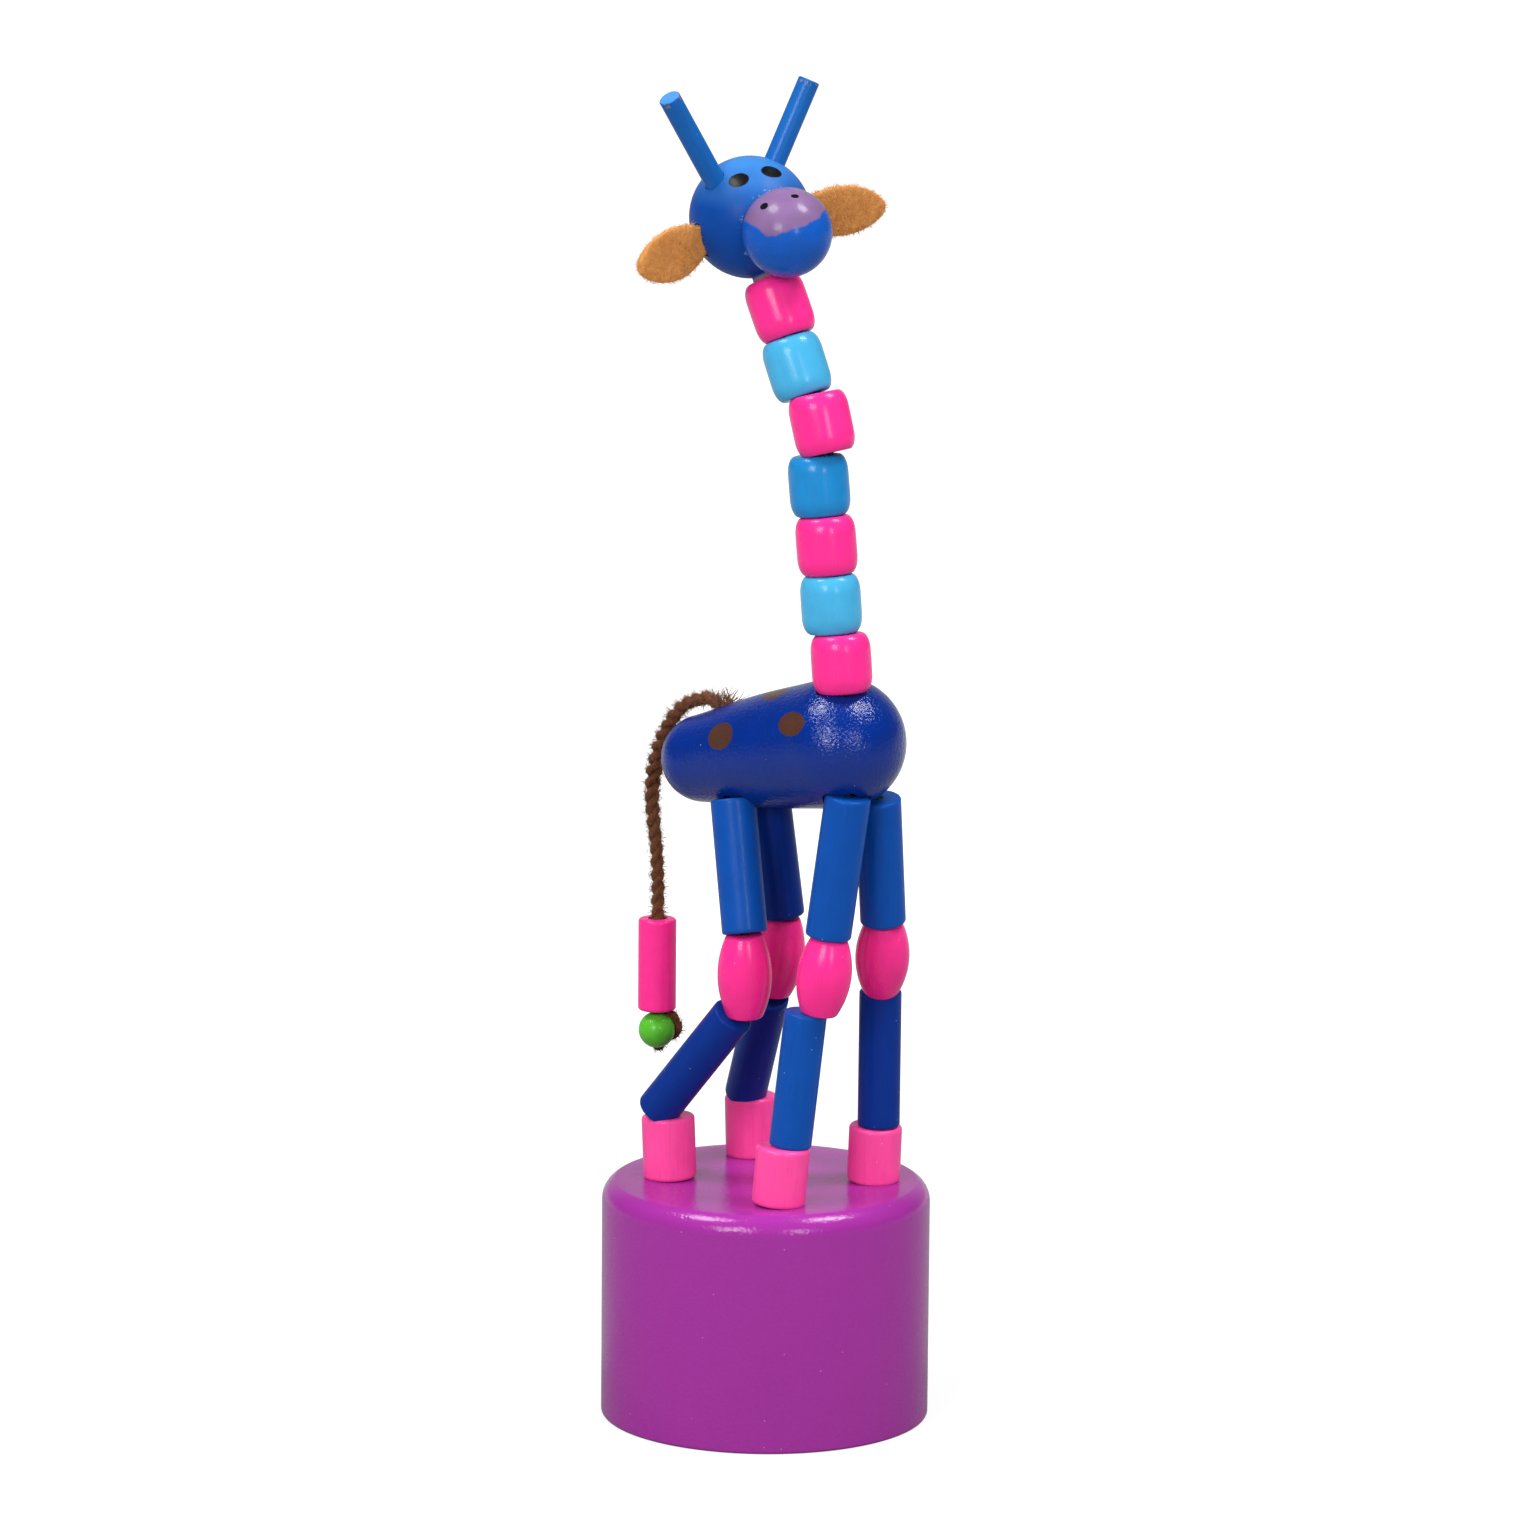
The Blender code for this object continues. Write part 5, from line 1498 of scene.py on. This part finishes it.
def ear_frame(node):
    """The ear's root, length and width, and its directions outwards, across and to the front."""
    points = points_of(node)
    middle = points.mean(axis=0)
    facing = Vector(np.linalg.eigh(np.cov((points - middle).T))[1][:, 0])
    facing = facing if facing.dot(face_out) > 0 else -facing
    outward = Vector(middle) - head_centre
    outward = (outward - facing * outward.dot(facing)).normalized()
    across = facing.cross(outward)
    reach = (points - np.array(head_centre)) @ np.array(outward)
    width = np.ptp(points @ np.array(across))
    root = head_centre + outward * reach.min()
    return root, reach.max() - reach.min(), width, outward, across, facing


def round_corner(value, power):
    return math.copysign(abs(value) ** (2 / power), value)


def cut_ear(side):
    node = f"ear_{side}"
    root, length, width, outward, across, facing = ear_frame(node)
    length, width = length * EAR_SPREAD[side][0], width * EAR_SPREAD[side][1]
    shape = bmesh.new()
    rings = []
    for row in range(EAR_ROWS + 1):
        share = (1 - math.cos(math.pi * row / EAR_ROWS)) / 2
        half = width / 2 * max(math.sin(math.pi * share ** EAR_TAPER), 0.0) ** EAR_FULLNESS
        end = min(share, 1 - share) * length
        thick = EAR_THICKNESS / 2 * min(1.0, math.sqrt(max(end, 0.0) / EAR_EDGE))
        ring = []
        for step in range(EAR_STEPS):
            a = 2 * math.pi * step / EAR_STEPS
            wide = round_corner(math.cos(a), EAR_ROUNDING) * half
            high = round_corner(math.sin(a), EAR_ROUNDING) * thick
            cup = EAR_CUP * (wide / (width / 2)) ** 2 * min(1.0, share * 3)
            place = root + outward * (share * length) + across * wide + facing * (high + cup - EAR_CUP / 3)
            ring.append(shape.verts.new(place))
        rings.append(ring)
    skin(shape, rings)
    bmesh.ops.remove_doubles(shape, verts=shape.verts, dist=0.002 * MM)
    ear = dress(finished_mesh(f"{node}_leaf", shape, EAR_SMOOTH), FELT)
    stand_for(ear, node)
    fuzz = grow_fibres(f"{node}_fuzz", ear, FELT_FIBRE, **EAR_FUZZ)
    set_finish(fuzz, slot_of(node))
    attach(fuzz, "head")
    block = bmesh.new()
    bmesh.ops.create_cube(block, size=1.0)
    slot_size = (2 * EAR_ROOT, EAR_SLOT_SHARE * width, EAR_THICKNESS + EAR_SLOT_GAP)
    bmesh.ops.scale(block, vec=slot_size, verts=block.verts)
    mesh = bpy.data.meshes.new("slot")
    block.to_mesh(mesh)
    block.free()
    turn = Matrix((outward, across, facing)).transposed().to_4x4()
    carve(head, mesh, Matrix.Translation(root + outward * EAR_ROOT) @ turn)


for side in ("left", "right"):
    cut_ear(side)
print("ears let in")

# %% [markdown]
# ## The face
#
# Two black dabs are the eyes, and two smaller ones the nostrils, on a muzzle whose top was dipped
# in mauve. The stub under the head has little paint left, and the glue shows as a broken line where
# the muzzle meets the head. A lighter blue over the head's top is painted sheen, for the light from
# above. Directions are given as forward through the muzzle, left and up.

# %% Paint the face
HEAD_LEFT = Vector((0.289, 0.955, 0.064))
head_left = (HEAD_LEFT - face_out * HEAD_LEFT.dot(face_out)).normalized()
head_up = face_out.cross(head_left)
HEAD_BLUE = seen(6, 68, 154)
# Painted sheen: this lighter blue, laid over the head's top, stands in for the light from above.
HEAD_TOP_SHEEN = seen(70, 146, 216)
MUZZLE_BLUE = seen(16, 88, 186)
EYE_BLACK = seen(20, 18, 20)
MAUVE = seen(134, 100, 140)
STUB_BROWN = seen(150, 110, 104)
SEAM_SHADE = seen(120, 160, 214)


def face_direction(forward, left, up):
    return (face_out * forward + head_left * left + head_up * up).normalized()


def face_dab(centre, radius, direction, width, height, tilt=0.0):
    facing = face_direction(*direction)
    return dab(centre + facing * radius, facing, width * MM, height * MM, tilt)


# The crown is where the painted sheen lies: the head's top is painted lighter, for the light from above.
crown = face_direction(-0.064, 0.02, 0.998)
head_marks = [
    mark(dip_and_sheen(head_centre, crown, 0.68 * head_radius, softness=0.42 * head_radius), HEAD_TOP_SHEEN,
         gloss=0.42, cover=0.7),
    mark(seam(muzzle_centre, muzzle_radius + 0.25 * MM, width=0.28 * MM, broken=0.6), SEAM_SHADE,
         gloss=0.4, cover=0.5),
    mark(face_dab(head_centre, head_radius, (0.41, -0.49, 0.77), 2.6, 2.1, 22.0), EYE_BLACK, gloss=0.24),
    mark(face_dab(head_centre, head_radius, (0.5, 0.084, 0.862), 2.8, 2.1, -10.0), EYE_BLACK, gloss=0.24),
    mark(dip_and_sheen(head_centre, -head_axis, head_radius - 0.1 * MM, softness=0.1 * MM, wobble=0.4), STUB_BROWN,
         gloss=0.6, cover=0.9)]
patch_axis = face_direction(-0.189, -0.293, 0.937)
patch_cut = face_direction(-0.101, -0.636, -0.765)
muzzle_marks = [
    mark(dip_and_sheen(muzzle_centre, patch_axis, 0.245 * muzzle_radius, softness=0.12 * MM, wobble=1.1), MAUVE,
         gloss=0.25, cover=0.92),
    mark(dip_and_sheen(muzzle_centre, patch_cut, 0.377 * muzzle_radius, softness=0.12 * MM, wobble=0.8), MUZZLE_BLUE,
         gloss=0.26),
    mark(face_dab(muzzle_centre, muzzle_radius, (0.123, -0.694, 0.71), 1.2, 1.0), EYE_BLACK, gloss=0.1),
    mark(face_dab(muzzle_centre, muzzle_radius, (0.387, -0.059, 0.92), 1.0, 0.8), EYE_BLACK, gloss=0.1)]
dress(head, paint("head blue paint", HEAD_BLUE, grain=0.06, gloss=0.4, coat=0.0, shine=0.13,
                  marks=head_marks))
dress(muzzle, paint("muzzle blue paint", MUZZLE_BLUE, grain=0.06, gloss=0.26, coat=0.12, bump=0.2,
                    shine=0.16, marks=muzzle_marks))
stand_for(head, "head_ball")
stand_for(muzzle, "muzzle_ball")
print(f"{len(head_marks)} marks on the head and {len(muzzle_marks)} on the muzzle")

# %% [markdown]
# ## The end of the tail
#
# A green ball stops the tail bead. The yarn goes down through it, comes up round its back and side,
# and is tucked into the bead again. Loose fibres stand off the yarn all along, and a few frayed
# ones stick up out of the hole in the rump.


# %% Turn the ball and loop the yarn
def make_yarn_finish(name, pale, dark, relief_strength):
    """Wool: fibres that wind along the ply, in uneven browns."""
    material, tree, shader = new_material(name)
    fine = stretched(tree, stored(tree, "twist"), 3.0, 3.0, 0.7)
    fibres = noise(tree, fine, 1.5, 5.0, Roughness=0.65)
    colour = mix_colour(tree, ramp(tree, fibres, 0.32, 0.68), dark, pale)
    lay_finish(tree, shader, colour, fibres * 0.25 + 0.75, fibres, relief_strength, 0.2 * MM)
    shader.inputs["Specular IOR Level"].default_value = 0.15
    shader.inputs["Sheen Weight"].default_value = 0.1
    return material


YARN_BROWN = make_yarn_finish("brown yarn", seen(144, 82, 44), seen(74, 36, 16), 0.9)
YARN_FIBRE = make_felt("yarn fibre", seen(150, 98, 62), seen(88, 50, 26), 2500.0, 0.1)
ball_centre, ball_radius = measure_ball(points_of("tail_ball"))
BALL_BORE = 0.8 * MM
BALL_GRAIN = 1.9
ball_edge = math.degrees(math.acos(BALL_BORE / ball_radius))
ball = spin("tail_ball_turned", arc((0.0, 0.0), ball_radius, ball_edge, -ball_edge, 40),
            Matrix.Translation(ball_centre), 72, loop=True, grain_offset=BALL_GRAIN)
stand_for(dress(ball, GREEN), "tail_ball")
LOOP_RIGHT = Vector((0.75, 0.66, 0.0))
LOOP_BACK = Vector((-0.66, 0.75, 0.0))
LOOP_DIVISIONS = 8
LOOP_TURNS = (
    (0.0, 0.0, -2.0), (0.35, 0.9, -2.5), (0.9, 1.9, -1.75), (2.1, 1.5, -1.05), (2.7, 0.7, -0.3),
    (2.65, 0.3, 0.75), (2.2, 0.2, 1.7), (1.4, 0.1, 2.35), (0.6, 0.0, 3.1))
loop_line = smooth_line([
    ball_centre + (LOOP_RIGHT * right + LOOP_BACK * back + Vector((0.0, 0.0, up))) * MM
    for right, back, up in LOOP_TURNS], LOOP_DIVISIONS)
loop_shape = bmesh.new()
tube_into(loop_shape, loop_line, ply_widths(len(loop_line), 1.0))
loop = dress(finished_mesh("tail_yarn_loop", loop_shape, YARN_SMOOTH), YARN_BROWN)
dress(yarn, YARN_BROWN)
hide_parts("tail_yarn")
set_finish(loop, "yarn")
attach(loop, "tail")
print(f"ball {ball_radius * 2000:.1f} mm across")

# %% Raise the loose fibres
FRAY_RADIUS = 0.95 * MM
FRAY_OFFSET = Vector((0.7, 0.0, -0.9)) * MM
YARN_FUZZ = {"per_mm2": 14.0, "radius": 0.032 * MM, "lean": 1.2, "curl": 0.9}
FRAY = {"per_mm2": 45.0, "length": 2.6 * MM, "radius": 0.1 * MM, "lean": 0.5, "curl": 0.5, "seed": 8}
yarn_fuzz = grow_fibres("tail_yarn_fuzz", yarn, YARN_FIBRE, length=0.75 * MM, seed=5, **YARN_FUZZ)
loop_fuzz = grow_fibres("tail_loop_fuzz", loop, YARN_FIBRE, length=0.65 * MM, seed=6, **YARN_FUZZ)
disc = bmesh.new()
bmesh.ops.create_circle(disc, cap_ends=True, segments=16, radius=FRAY_RADIUS)
fray_ground = finished_mesh("fray_ground", disc)
fray_ground.data.transform(Matrix.Translation(TAIL_ROUTE[1] + FRAY_OFFSET))
fray = grow_fibres("tail_yarn_fray", fray_ground, YARN_FIBRE, **FRAY)
bpy.data.objects.remove(fray_ground)
for piece, body_name in ((loop_fuzz, "tail"), (fray, "body")):
    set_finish(piece, "yarn")
    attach(piece, body_name)
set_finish(yarn_fuzz, "yarn")
print("fibres raised")

# %% [markdown]
# ## Stage and light
#
# The picture is a catalogue shot: a white sweep, a soft box high up on each side and two low in
# front. The floor is lit near the toy, so that it keeps a shadow, and glows white farther off. The
# white surroundings show in the gloss only behind the toy, because the room behind the camera is dim,
# and that is what keeps the blues deep.

# %% Set the stage
scene = bpy.context.scene
scene.view_settings.view_transform = "Standard"
FLOOR_GLOW = 0.76
FLOOR_GREY = 0.26
FLOOR_SIZE = 4.0
GLOW_FROM, GLOW_TO = 0.05, 0.35
FLOOR_DIM, FLOOR_BRIGHT = 0.05, 0.5
WHITE = (1.0, 1.0, 1.0, 1.0)
ROOM_DIM = 0.05
MIRRORED_WHITE = 0.45
behind = Vector((-view_back.x, -view_back.y, 0.0)).normalized()


def seen_level(tree, along, near, far, white, unseen):
    """The glow for rays from the camera, less for mirrored or bent ones that look at the dim side."""
    path = add(tree, "ShaderNodeLightPath").outputs
    side = add(tree, "ShaderNodeMapRange", {"interpolation_type": "SMOOTHSTEP"}, Value=along,
               From_Min=near, From_Max=far, To_Min=ROOM_DIM, To_Max=MIRRORED_WHITE).outputs[0]
    mirrored = (Number(tree, path["Is Glossy Ray"]) + path["Is Transmission Ray"]).do("MINIMUM", 1.0)
    level = mix_number(tree, mirrored, unseen, Number(tree, side) * white)
    return mix_number(tree, path["Is Camera Ray"], level, white)


def make_floor():
    shape = bmesh.new()
    bmesh.ops.create_grid(shape, x_segments=1, y_segments=1, size=FLOOR_SIZE)
    floor = finished_mesh("floor", shape)
    material, tree, _ = new_material("floor")
    tree.nodes.clear()
    place = add(tree, "ShaderNodeTexCoord").outputs["Object"]
    reach = vector_calc(tree, "LENGTH", place)["Value"]
    level = add(tree, "ShaderNodeMapRange", {"interpolation_type": "SMOOTHSTEP"}, Value=reach,
                From_Min=GLOW_FROM, From_Max=GLOW_TO, To_Min=FLOOR_GLOW, To_Max=1.0).outputs[0]
    along = dot(tree, place, behind)
    glow = add(tree, "ShaderNodeEmission", Color=WHITE,
               Strength=seen_level(tree, along, FLOOR_DIM, FLOOR_BRIGHT, level, 0.0))
    matte = add(tree, "ShaderNodeBsdfDiffuse", Color=(FLOOR_GREY, FLOOR_GREY, FLOOR_GREY, 1.0))
    both = add(tree, "ShaderNodeAddShader")
    feed(tree, both.inputs[0], glow.outputs[0])
    feed(tree, both.inputs[1], matte.outputs[0])
    out = add(tree, "ShaderNodeOutputMaterial")
    feed(tree, out.inputs["Surface"], both.outputs[0])
    dress(floor, material)


make_floor()
print("floor laid")

# %% Hang the lamps
LAMP_DISTANCE = 1.3
LAMPS = (
    ("box to the left", -30.0, 60.0, 9.5, (0.5, 0.4)),
    ("box to the right", 118.0, 60.0, 10.0, (0.36, 0.4)),
    ("low box", 18.0, 21.0, 6.4, (0.45, 0.36)),
    ("low strip", 65.0, 15.0, 2.6, (0.2, 0.36)))


def make_lamp(name, azimuth, elevation, power, size):
    """An area lamp that faces the toy, from two angles in degrees, with its watts and its size."""
    data = bpy.data.lights.new(name, "AREA")
    data.shape = "RECTANGLE"
    data.size, data.size_y = size
    data.energy = power
    turn, rise = math.radians(azimuth), math.radians(elevation)
    direction = Vector((math.sin(turn) * math.cos(rise), -math.cos(turn) * math.cos(rise), math.sin(rise)))
    place = Matrix.Translation(VIEW_AIM + direction * LAMP_DISTANCE)
    put(name, data).matrix_world = place @ direction.to_track_quat("Z", "Y").to_matrix().to_4x4()


for lamp_values in LAMPS:
    make_lamp(*lamp_values)
print(f"{len(LAMPS)} lamps")

# %% Light the room
ROOM_LIGHT = 0.48
SKY_DIM, SKY_BRIGHT = 0.55, 1.0
world = bpy.data.worlds.new("studio")
world.use_nodes = True
scene.world = world
world_tree = world.node_tree
sky = world_tree.nodes["Background"]
sky.inputs["Color"].default_value = WHITE
looking = dot(world_tree, add(world_tree, "ShaderNodeTexCoord").outputs["Generated"], behind)
glow = seen_level(world_tree, looking, SKY_DIM, SKY_BRIGHT, 1.0, ROOM_LIGHT)
feed(world_tree, sky.inputs["Strength"], glow)
print("room lit")

# %% [markdown]
#
# The yarn is the one free cord here. It stays with the body up to the rump's edge, and from there
# it swings with the tail. The cell below bakes it and its fibres in place.

# %% Finish
for piece in (yarn, yarn_fuzz):
    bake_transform(piece)
